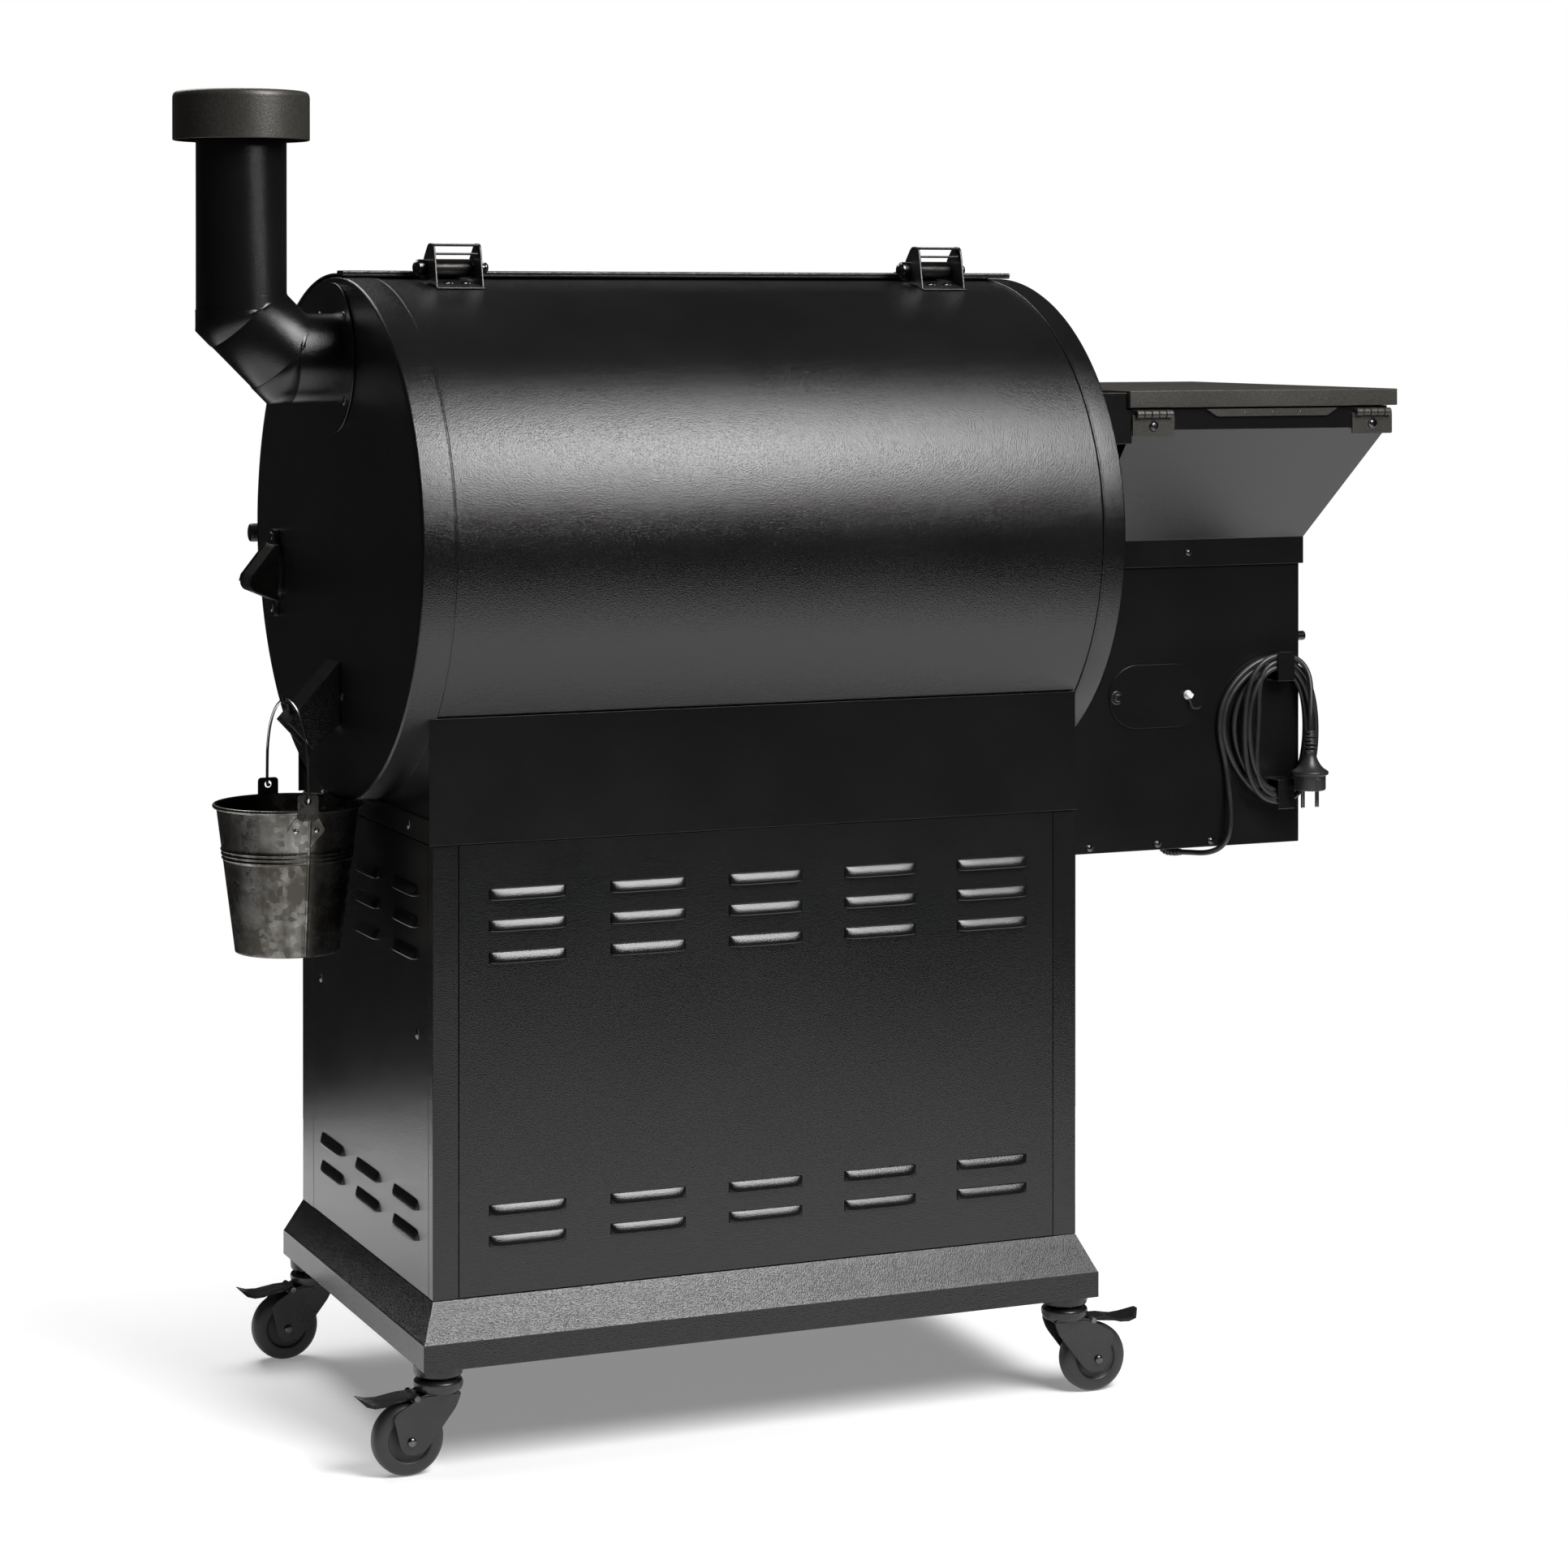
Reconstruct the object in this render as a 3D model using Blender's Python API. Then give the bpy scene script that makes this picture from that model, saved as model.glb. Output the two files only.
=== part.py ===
"""Pellet smoker grill: a louvred cart that carries an oval drum, a pellet hopper and a chimney.

The cart faces -Y, the chimney and the grease bucket are at +X, the hopper is at -X, and the floor is Z = 0.
Shapes are written in the cart's own frame, whose Z axis runs up the middle of the cabinet. The grill empty
moves that frame so that the whole grill is centred on the origin. All sizes are metres.
"""

import math

import bmesh
import bpy
from mathutils import Vector

# Driving dimensions.
GRILL_SHIFT = (0.1030, 0.0389, 0.0)
GAP = 0.0004
SHEET = 0.002

CAB_X = 0.375
CAB_Y = 0.248
LIP_X = 0.392
LIP_Y = 0.271
LIP_LOW = 0.112
LIP_TOP = 0.141
CAB_LOW = 0.179
CAB_TOP = 0.653
POST_REAR = 0.028
POST_FRONT = 0.020
SIDE_BACK = 0.2325
SIDE_FRONT = -0.202

CASTER_X = 0.366
CASTER_Y = 0.238
WHEEL_R = 0.038
WHEEL_TRAIL = 0.034
PEDAL_X = 0.028
PEDAL_Z = 0.082

LOUVRE_PITCH_X = 0.1354
LOUVRE_PITCH_Y = 0.1385
LOUVRE_MID_Y = 0.015
LOUVRE_LENGTH = 0.086
LOUVRE_ROWS = (0.599, 0.566, 0.5325, 0.268, 0.236)

DRUM_Y = -0.003
DRUM_Z = 0.9615
CAP_RY = 0.321
CAP_RZ = 0.286
SHELL_INSET = 0.0015
DRUM_LEFT = -0.373
DRUM_RIGHT = 0.3795
CAP_LEFT = -0.402
CAP_RIGHT = 0.408
DRUM_STEPS = 48
OPENING_Z = 0.895
APRON_TOP = 0.7875
APRON_Y = 0.2505

RACK_Z = 1.060
RACK_FRONT = 0.020
RACK_REAR = 0.240
RACK_HOLD = 0.008
SHELF_REACH = 0.038

LID_HINGE_Y = 0.052
LID_HINGE_Z = 1.257
LID_HINGE_X = (-0.287, 0.293)
HANDLE_Y = -0.385
HANDLE_Z = 0.946

CHIMNEY_Z = 1.158
CHIMNEY_X = 0.512
CHIMNEY_R = 0.049

SPOUT_LOW_Y = -0.030
SPOUT_HIGH_Y = 0.020
HOOK_X = 0.4606
HOOK_Z = 0.7845
BUCKET_RIM_Z = 0.674
BUCKET_BASE_Z = 0.512
EAR_Z = 0.684

AUGER_Z = 0.735
AUGER_LEFT = -0.660
AUGER_RIGHT = -0.0985
FIRE_POT_X = -0.045

BIN_TOP = 1.1005
BIN_BAND = 1.0755
BIN_TAPER = 0.9435
BIN_LOW = 0.912
BIN_FRONT = -0.225
BIN_REAR = 0.245
BIN_LEFT = -0.781
BIN_RIGHT = -0.447
BASE_LEFT = -0.733
BASE_RIGHT = -0.405
BASE_REAR = 0.127
BASE_LOW = 0.583
HOPPER_HINGE_Y = 0.2525
HOPPER_HINGE_Z = 1.0965

COIL_X = -0.698
COIL_Z = 0.7177
CORD_R = 0.0032

# Finishes: base colour, metallic, roughness.
BLACK_COAT = ((0.012, 0.012, 0.013), 0.35, 0.42)
BRONZE_COAT = ((0.105, 0.098, 0.090), 0.75, 0.42)
GUNMETAL = ((0.060, 0.058, 0.056), 0.85, 0.35)
ZINC = ((0.56, 0.57, 0.58), 0.95, 0.32)
STEEL = ((0.45, 0.45, 0.46), 0.95, 0.35)
ENAMEL = ((0.020, 0.020, 0.021), 0.20, 0.30)
PLASTIC = ((0.015, 0.015, 0.016), 0.0, 0.48)

for old in list(bpy.data.objects):
    bpy.data.objects.remove(old, do_unlink=True)

grill = bpy.data.objects.new("grill", None)
grill.location = GRILL_SHIFT
bpy.context.scene.collection.objects.link(grill)


# Shapes. Each function returns a closed bmesh with its faces pointing out.


def skin(rings, closed=False):
    """Quads between rings of equally many points. The ends are capped unless the rings form a loop."""
    shape = bmesh.new()
    loops = [[shape.verts.new(point) for point in ring] for ring in rings]
    count = len(loops[0])
    pairs = list(zip(loops, loops[1:]))
    if closed:
        pairs.append((loops[-1], loops[0]))
    for low, high in pairs:
        for i in range(count):
            j = (i + 1) % count
            shape.faces.new((low[i], low[j], high[j], high[i]))
    if not closed:
        shape.faces.new(loops[0])
        shape.faces.new(loops[-1])
    bmesh.ops.recalc_face_normals(shape, faces=shape.faces)
    return shape


def spot(axis, a, b, along):
    """A point from its place along an axis and its other two coordinates, in X, Y, Z order."""
    return {"x": (along, a, b), "y": (a, along, b), "z": (a, b, along)}[axis]


def prism(outline, axis, low, high):
    return skin([[spot(axis, a, b, along) for a, b in outline] for along in (low, high)])


def box(x0, x1, y0, y1, z0, z1):
    return prism([(x0, y0), (x1, y0), (x1, y1), (x0, y1)], "z", z0, z1)


def rectangle(x0, x1, y0, y1, z):
    return [(x0, y0, z), (x1, y0, z), (x1, y1, z), (x0, y1, z)]


def circle(axis, centre, radius, steps):
    """A circle about an axis direction through a centre (x, y, z)."""
    x, y, z = centre
    a, b, along = {"x": (y, z, x), "y": (x, z, y), "z": (x, y, z)}[axis]
    turns = [2 * math.pi * i / steps for i in range(steps)]
    return [spot(axis, a + radius * math.cos(t), b + radius * math.sin(t), along) for t in turns]


def moved(axis, centre, distance):
    place = list(centre)
    place["xyz".index(axis)] += distance
    return tuple(place)


def rod(axis, centre, radius, length, steps=16):
    """A cylinder that starts at the centre and runs along the axis."""
    return skin([circle(axis, moved(axis, centre, d), radius, steps) for d in (0, length)])


def turned(axis, centre, profile, steps, ring=False):
    """A profile of (radius, distance along the axis). A ring's profile closes on itself."""
    loops = [circle(axis, moved(axis, centre, d), radius, steps) for radius, d in profile]
    return skin(loops, closed=ring)


def oval(grow, steps=DRUM_STEPS, start=0.0, end=360.0):
    """Points (y, z) of the drum's oval, grown outwards, from one angle to another in degrees."""
    whole = abs(end - start) >= 360
    count = steps if whole else steps + 1
    turns = [math.radians(start + (end - start) * i / steps) for i in range(count)]
    wide = CAP_RY + grow
    tall = CAP_RZ + grow
    return [(DRUM_Y + wide * math.cos(t), DRUM_Z + tall * math.sin(t)) for t in turns]


def swept(points, radius, steps=8, inner=0.0):
    """A round bar, or a pipe if it has an inner radius, along points with mitred corners."""
    path = [Vector(p) for p in points]
    rings = {radius: [], inner: []}
    runs = [(b - a).normalized() for a, b in zip(path, path[1:])]
    side = runs[0].orthogonal().normalized()
    for i, point in enumerate(path):
        before = runs[max(i - 1, 0)]
        after = runs[min(i, len(runs) - 1)]
        plane = (before + after).normalized()
        side = (side - before * side.dot(before)).normalized()
        other = before.cross(side)
        for r in rings:
            ring = []
            for k in range(steps):
                t = 2 * math.pi * k / steps
                offset = (side * math.cos(t) + other * math.sin(t)) * r
                ring.append(point + offset - before * (offset.dot(plane) / before.dot(plane)))
            rings[r].append(ring)
    if not inner:
        return skin(rings[radius])
    return skin(rings[radius] + rings[inner][::-1], closed=True)


def merged(shapes):
    """Separate shapes held in one bmesh."""
    whole = bmesh.new()
    for shape in shapes:
        mesh = bpy.data.meshes.new("merged")
        shape.to_mesh(mesh)
        shape.free()
        whole.from_mesh(mesh)
        bpy.data.meshes.remove(mesh)
    return whole


# Objects.


def finish(name, look):
    colour, metallic, roughness = look
    made = bpy.data.materials.new(name)
    made.use_nodes = True
    surface = made.node_tree.nodes["Principled BSDF"]
    surface.inputs["Base Color"].default_value = (*colour, 1.0)
    surface.inputs["Metallic"].default_value = metallic
    surface.inputs["Roughness"].default_value = roughness
    return made


def piece(name, shape, look, pivot=(0.0, 0.0, 0.0)):
    """A sub-part. Its origin is its pivot, which is on its joint's axis if it moves."""
    bmesh.ops.translate(shape, verts=shape.verts, vec=-Vector(pivot))
    mesh = bpy.data.meshes.new(name)
    shape.to_mesh(mesh)
    shape.free()
    mesh.materials.append(finish(name, look))
    mesh.shade_smooth()
    mesh.set_sharp_from_angle(angle=math.radians(35))
    made = bpy.data.objects.new(name, mesh)
    bpy.context.scene.collection.objects.link(made)
    made.parent = grill
    made.location = pivot
    return made


def boolean(target, shape, operation):
    """Joins a shape to a sub-part or cuts it away, with a hidden helper that keeps the modifier live."""
    mesh = bpy.data.meshes.new(target.name + "_" + operation.lower())
    shape.to_mesh(mesh)
    shape.free()
    helper = bpy.data.objects.new(mesh.name, mesh)
    bpy.context.scene.collection.objects.link(helper)
    helper.parent = grill
    helper.hide_render = True
    helper.display_type = "WIRE"
    modifier = target.modifiers.new(operation.title(), "BOOLEAN")
    modifier.operation = operation
    modifier.solver = "EXACT"
    modifier.object = helper


def join(target, *shapes):
    for shape in shapes:
        boolean(target, shape, "UNION")


def cut(target, *shapes):
    for shape in shapes:
        boolean(target, shape, "DIFFERENCE")


# Cart.


def base_skirt():
    """A flared tray with a lip, and four cups under it that take the casters' king pins."""
    outer = [(LIP_X, LIP_Y, LIP_LOW), (LIP_X, LIP_Y, LIP_TOP), (CAB_X, CAB_Y, CAB_LOW)]
    inner = [(LIP_X - SHEET, LIP_Y - SHEET, LIP_LOW + SHEET), (LIP_X - SHEET, LIP_Y - SHEET, LIP_TOP)]
    inner.append((CAB_X - SHEET, CAB_Y - SHEET, CAB_LOW + 0.001))
    base = piece("base_skirt", skin([rectangle(-x, x, -y, y, z) for x, y, z in outer]), BLACK_COAT)
    cut(base, skin([rectangle(-x, x, -y, y, z) for x, y, z in inner]))
    places = [(side * CASTER_X, end * CASTER_Y) for side in (-1, 1) for end in (-1, 1)]
    join(base, merged([rod("z", (x, y, 0.0995), 0.026, 0.0135, 16) for x, y in places]))
    cut(base, merged([rod("z", (x, y, 0.095), 0.0057, 0.03, 12) for x, y in places]))
    piece("cabinet_floor", box(-0.3725, 0.3725, -0.2255, 0.2455, 0.1795, 0.1815), BLACK_COAT)


def corner_posts():
    """Four angle posts. The front ones carry the fixed knuckles of the door hinges."""
    low = CAB_LOW + GAP
    high = CAB_TOP - GAP
    for side, name in ((-1, "left"), (1, "right")):
        x = side * CAB_X
        thin = x - side * SHEET
        rear = [(x, SIDE_BACK + 0.0008), (x, CAB_Y), (x - side * POST_REAR, CAB_Y)]
        rear += [(x - side * POST_REAR, CAB_Y - SHEET), (thin, CAB_Y - SHEET), (thin, SIDE_BACK + 0.0008)]
        piece(name + "_rear_post", prism(rear, "z", low, high), BLACK_COAT)
        front = [(x, SIDE_FRONT - 0.0008), (x, -CAB_Y), (x - side * POST_FRONT, -CAB_Y)]
        front += [(x - side * POST_FRONT, -CAB_Y + SHEET), (thin, -CAB_Y + SHEET)]
        front.append((thin, SIDE_FRONT - 0.0008))
        post = piece(name + "_front_post", prism(front, "z", low, high), BLACK_COAT)
        for z in (0.250, 0.562):
            knuckle = rod("z", (side * 0.3545, -0.2525, z + 0.0204), 0.0036, 0.018, 12)
            leaf = box(min(side * 0.3545, side * 0.3665), max(side * 0.3545, side * 0.3665),
                       -0.2530, -0.2475, z + 0.0204, z + 0.0384)
            join(post, knuckle, leaf)


def louvres(outward, across):
    """Hoods and their openings for a panel. Across lists the hoods' middles, outward is (axis, face)."""
    axis, face = outward
    sign = 1 if face > 0 else -1
    run = "x" if axis == "y" else "y"

    def hood(middle, z, half, section):
        outline = [(face + sign * out, z + up) for out, up in section]
        return prism(outline, run, middle - half, middle + half)

    outer = [(-0.001, 0.0062), (0.0045, 0.0), (0.0056, -0.0058), (-0.001, -0.0058)]
    inner = [(-0.005, 0.0040), (0.0034, -0.0015), (0.0041, -0.0075), (-0.005, -0.0075)]
    places = [(middle, z) for middle in across for z in LOUVRE_ROWS]
    hoods = [hood(middle, z, LOUVRE_LENGTH / 2, outer) for middle, z in places]
    holes = [hood(middle, z, LOUVRE_LENGTH / 2 - 0.002, inner) for middle, z in places]
    return merged(hoods), merged(holes)


def panels():
    """Louvred rear and side panels."""
    wide = CAB_X - POST_REAR - 0.0008
    rear = piece("rear_panel", box(-wide, wide, CAB_Y - SHEET, CAB_Y, CAB_LOW + 0.001, CAB_TOP - 0.001),
                 BLACK_COAT)
    hoods, holes = louvres(("y", CAB_Y), [i * LOUVRE_PITCH_X for i in range(-2, 3)])
    join(rear, hoods)
    cut(rear, holes)
    for side, name in ((-1, "left"), (1, "right")):
        x0, x1 = sorted((side * CAB_X, side * (CAB_X - SHEET)))
        sheet = box(x0, x1, SIDE_FRONT, SIDE_BACK, CAB_LOW + 0.001, CAB_TOP - 0.001)
        panel = piece(name + "_side_panel", sheet, BLACK_COAT)
        middles = [LOUVRE_MID_Y + i * LOUVRE_PITCH_Y for i in (-1, 0, 1)]
        hoods, holes = louvres(("x", side * CAB_X), middles)
        join(panel, hoods)
        cut(panel, holes)


def doors():
    """Folded pans that swing on knuckles at the posts. Each has a bar handle near the middle."""
    for side, name in ((-1, "left"), (1, "right")):
        x0, x1 = sorted((side * 0.0010, side * 0.3538))
        pan = box(x0, x1, -CAB_Y, -0.2300, 0.1830, 0.6490)
        door = piece(name + "_door", pan, BLACK_COAT, (side * 0.3545, -0.2525, 0.1830))
        cut(door, box(x0 + SHEET, x1 - SHEET, -CAB_Y + SHEET, -0.2200, 0.1850, 0.6470))
        for z in (0.250, 0.562):
            leaf = box(min(side * 0.3425, side * 0.3545), max(side * 0.3425, side * 0.3545),
                       -0.2530, -0.2475, z, z + 0.0200)
            join(door, rod("z", (side * 0.3545, -0.2525, z), 0.0036, 0.0200, 12), leaf)
        grip = [(side * 0.030, -0.2470, 0.380), (side * 0.030, -0.2790, 0.380)]
        grip += [(side * 0.030, -0.2790, 0.560), (side * 0.030, -0.2470, 0.560)]
        join(door, swept(grip, 0.006, 10))


def caster(side, end, name):
    """A swivel caster that trails outwards: fork with king pin and axle, wheel, brake pedal."""
    x = side * CASTER_X
    y = end * CASTER_Y

    def out(distance):
        return x + side * distance

    leg = [(-0.019, 0.0855), (-0.012, 0.070), (0.020, 0.032), (0.030, 0.0255), (0.040, 0.0270)]
    leg += [(0.047, 0.036), (0.049, 0.060), (0.036, 0.0855)]
    fork = piece(name + "_caster_fork",
                 turned("z", (x, y, 0.0), [(0.015, 0.0835), (0.024, 0.0870), (0.0255, 0.0930),
                                           (0.022, 0.0991)], 12),
                 GUNMETAL, (x, y, 0.0))
    crown = prism([(out(-0.019), y - 0.0172), (out(0.022), y - 0.0172), (out(0.022), y + 0.0172),
                   (out(-0.019), y + 0.0172)], "z", 0.0835, 0.0862)
    legs = [prism([(out(a), z) for a, z in leg], "y", y + s - 0.0010, y + s + 0.0010) for s in (-0.0162,
                                                                                                0.0162)]
    join(fork, crown, merged(legs))
    join(fork, rod("z", (x, y, 0.0980), 0.0053, 0.0160, 8))
    join(fork, rod("y", (out(WHEEL_TRAIL), y - 0.0195, WHEEL_R), 0.0040, 0.0390, 8))
    join(fork, rod("y", (out(PEDAL_X), y - 0.0180, PEDAL_Z), 0.0018, 0.0360, 6))

    tyre = [(0.0044, -0.0140), (0.0100, -0.0140), (0.0115, -0.0070), (0.0240, -0.0070), (0.0260, -0.0115)]
    tyre += [(0.0350, -0.0105), (WHEEL_R, -0.0050)]
    whole = tyre + [(radius, -d) for radius, d in reversed(tyre)]
    axle = (out(WHEEL_TRAIL), y, WHEEL_R)
    piece(name + "_caster_wheel", turned("y", axle, whole, 16, ring=True), PLASTIC, axle)

    pivot = (out(PEDAL_X), y, PEDAL_Z)
    arm = [(0.028, 0.0845), (0.046, 0.0835), (0.066, 0.0790), (0.078, 0.0800), (0.090, 0.0875),
           (0.090, 0.0855)]
    arm += [(0.078, 0.0775), (0.066, 0.0765), (0.046, 0.0810), (0.028, 0.0805)]
    pedal = piece(name + "_caster_pedal", rod("y", (pivot[0], y - 0.0120, PEDAL_Z), 0.0040, 0.0240, 12),
                  GUNMETAL, pivot)
    join(pedal, prism([(out(a), z) for a, z in arm], "y", y - 0.0120, y + 0.0120))
    tread = [(0.056, 0.0812), (0.066, 0.0790), (0.078, 0.0800), (0.090, 0.0875), (0.090, 0.0855)]
    tread += [(0.078, 0.0775), (0.066, 0.0765), (0.056, 0.0788)]
    join(pedal, prism([(out(a), z) for a, z in tread], "y", y - 0.0170, y + 0.0170))
    cut(pedal, rod("y", (pivot[0], y - 0.02, PEDAL_Z), 0.0022, 0.04, 8))


def cradle_frame():
    """The deck over the cabinet with its aprons, side plates and side rails, scooped to hold the drum."""
    frame = piece("cradle_frame", box(-0.3725, 0.3725, -APRON_Y, APRON_Y, CAB_TOP + GAP,
                                      CAB_TOP + 0.0024), BLACK_COAT)
    for end in (-1, 1):
        y0, y1 = sorted((end * APRON_Y, end * (APRON_Y - SHEET)))
        join(frame, box(DRUM_LEFT, DRUM_RIGHT, y0, y1, CAB_TOP + GAP, APRON_TOP))
        x0, x1 = sorted((end * CAB_X, end * (CAB_X - 0.003)))
        join(frame, box(x0, x1, -APRON_Y, APRON_Y, CAB_TOP + GAP, 0.6780))
        x0, x1 = sorted((end * (CAB_X - 0.003 - SHEET), end * (CAB_X - 0.003)))
        join(frame, box(x0, x1, 0.001 - APRON_Y, APRON_Y - 0.001, CAB_TOP + GAP, APRON_TOP))
    cut(frame, prism(oval(GAP), "x", -0.5, 0.5))


# Drum.


def drum_body():
    """The oval barrel, open at the front and top under the lid, with ledges for the grates."""
    inset = -SHELL_INSET
    body = piece("drum_body", prism(oval(inset), "x", DRUM_LEFT, DRUM_RIGHT - GAP), BLACK_COAT)
    cut(body, prism(oval(inset - SHEET), "x", DRUM_LEFT - 0.01, DRUM_RIGHT + 0.01))
    cut(body, box(DRUM_LEFT + 0.03, DRUM_RIGHT - 0.03, -0.4, 0.004, OPENING_Z, 1.4))
    for end in (-1, 1):
        y0, y1 = sorted((DRUM_Y + end * 0.3068, DRUM_Y + end * 0.283))
        join(body, box(-0.36, 0.36, y0, y1, 0.8840, 0.8855))


def end_caps():
    """Ringed end plates with shelves for the rack, and holes for the flue, the grease and the auger."""
    for name, face, seam in (("left", CAP_LEFT, DRUM_LEFT - GAP), ("right", CAP_RIGHT, DRUM_RIGHT)):
        low, high = sorted((face, seam))
        cap = piece(name + "_end_cap", prism(oval(0.0), "x", low, high), BLACK_COAT)
        inner = (low - 0.01, face - SHEET) if face > 0 else (face + SHEET, high + 0.01)
        cut(cap, prism(oval(-0.0025), "x", *inner))
        inward = -1 if face > 0 else 1
        x0, x1 = sorted((face + inward * 0.0005, face + inward * SHELF_REACH))
        join(cap, box(x0, x1, RACK_FRONT, RACK_REAR, RACK_Z - GAP - 0.0015, RACK_Z - GAP))
        if face > 0:
            cut(cap, rod("x", (face - 0.01, DRUM_Y, CHIMNEY_Z), 0.0450, 0.02, 32))
            cut(cap, box(face - 0.01, face + 0.01, SPOUT_LOW_Y + 0.002, SPOUT_HIGH_Y - 0.002, 0.760, 0.822))
        else:
            cut(cap, rod("x", (face - 0.01, DRUM_Y, AUGER_Z), 0.0246, 0.02, 24))


def drum_lid():
    """The curved lid with its rear lip, lower hem and the two barrels that turn on the hinge pins."""
    start = 84.5
    end = 196.0
    outline = oval(0.0036, 44, start, end) + oval(0.0012, 44, start, end)[::-1]
    pivot = (0.0, LID_HINGE_Y, LID_HINGE_Z)
    lid = piece("drum_lid", prism(outline, "x", CAP_LEFT + 0.0005, CAP_RIGHT - 0.0005), BLACK_COAT, pivot)
    join(lid, box(CAP_LEFT + 0.0005, CAP_RIGHT - 0.0005, 0.006, 0.029, 1.2492, 1.2540))
    for x in LID_HINGE_X:
        join(lid, box(x - 0.018, x + 0.018, -0.030, LID_HINGE_Y, 1.2495, 1.2570))
        join(lid, rod("x", (x - 0.0230, LID_HINGE_Y, LID_HINGE_Z), 0.0095, 0.0460, 16))
        cut(lid, rod("x", (x - 0.03, LID_HINGE_Y, LID_HINGE_Z), 0.0044, 0.06, 12))


def lid_handle():
    """A full-width bar on two brackets."""
    bar = [(CAP_LEFT + 0.010, HANDLE_Y, HANDLE_Z), (CAP_RIGHT - 0.006, HANDLE_Y, HANDLE_Z)]
    handle = piece("lid_handle", swept(bar, 0.011, 14), GUNMETAL, (0.0, LID_HINGE_Y, LID_HINGE_Z))
    for x in (CAP_LEFT + 0.030, CAP_RIGHT - 0.030):
        arm = [(HANDLE_Y - 0.004, HANDLE_Z - 0.004), (HANDLE_Y + 0.004, 0.922), (-0.326, 0.920),
               (-0.3262, 0.962),
               (HANDLE_Y, HANDLE_Z + 0.004)]
        join(handle, prism(arm, "x", x - 0.006, x + 0.006))
    cut(handle, prism(oval(0.0036 + GAP, 160), "x", -0.5, 0.5))


def lid_hinges():
    """Brackets on the drum's top: a saddle, two cheeks, a cross bar that stops the lid, and the pin."""
    for x, name in zip(LID_HINGE_X, ("left", "right")):
        saddle = oval(GAP - SHELL_INSET, 6, 85.0, 72.5) + oval(0.0025 - SHELL_INSET, 6, 85.0, 72.5)[::-1]
        hinge = piece(name + "_lid_hinge", prism(saddle, "x", x - 0.0275, x + 0.0275), GUNMETAL)
        surface = oval(0.0015 - SHELL_INSET, 4, 82.0, 73.5)
        cheek = surface + [(0.0800, 1.2760), (0.0760, 1.2825), (0.0620, 1.2835), (0.0420, 1.2660)]
        for face in (-0.0275, 0.0245):
            join(hinge, prism(cheek, "x", x + face, x + face + 0.0030))
        join(hinge, box(x - 0.0255, x + 0.0255, 0.0680, 0.0770, 1.2705, 1.2795))
        join(hinge, rod("x", (x - 0.0390, LID_HINGE_Y, LID_HINGE_Z), 0.0040, 0.0790, 12))
        heads = [(0.0020, 0.0), (0.0060, 0.0020), (0.0065, 0.0050)]
        join(hinge, turned("x", (x - 0.0400, LID_HINGE_Y, LID_HINGE_Z), heads, 12))
        sleeve = [(0.0058, 0.0), (0.0058, 0.0150), (0.0068, 0.0155), (0.0068, 0.0200), (0.0020, 0.0250)]
        join(hinge, turned("x", (x + 0.0270, LID_HINGE_Y, LID_HINGE_Z), sleeve, 12))


def thermometer():
    """A round dial on the lid's front."""
    angle = math.radians(155)
    tilt = math.degrees(math.atan2(CAP_RY * math.sin(angle), CAP_RZ * math.cos(angle)))
    profile = [(0.0040, -0.012), (0.0040, 0.0), (0.0340, 0.0), (0.0370, 0.0060), (0.0370, 0.0120),
               (0.0330, 0.0150),
               (0.0310, 0.0130), (0.0040, 0.0130)]
    shape = turned("y", (0.0, 0.0, 0.0), [(radius, -d) for radius, d in profile], 20)
    turn = Vector((0, -1, 0)).rotation_difference(
        Vector((0, math.cos(math.radians(tilt)), math.sin(math.radians(tilt)))))
    bmesh.ops.rotate(shape, verts=shape.verts, cent=(0, 0, 0), matrix=turn.to_matrix())
    surface = Vector((0.0, DRUM_Y + (CAP_RY + 0.008) * math.cos(angle),
                      DRUM_Z + (CAP_RZ + 0.008) * math.sin(angle)))
    bmesh.ops.translate(shape, verts=shape.verts, vec=surface)
    dial = piece("lid_thermometer", shape, STEEL, (0.0, LID_HINGE_Y, LID_HINGE_Z))
    cut(dial, prism(oval(0.0036 + GAP, 160), "x", -0.5, 0.5))


# Chimney.


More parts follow.
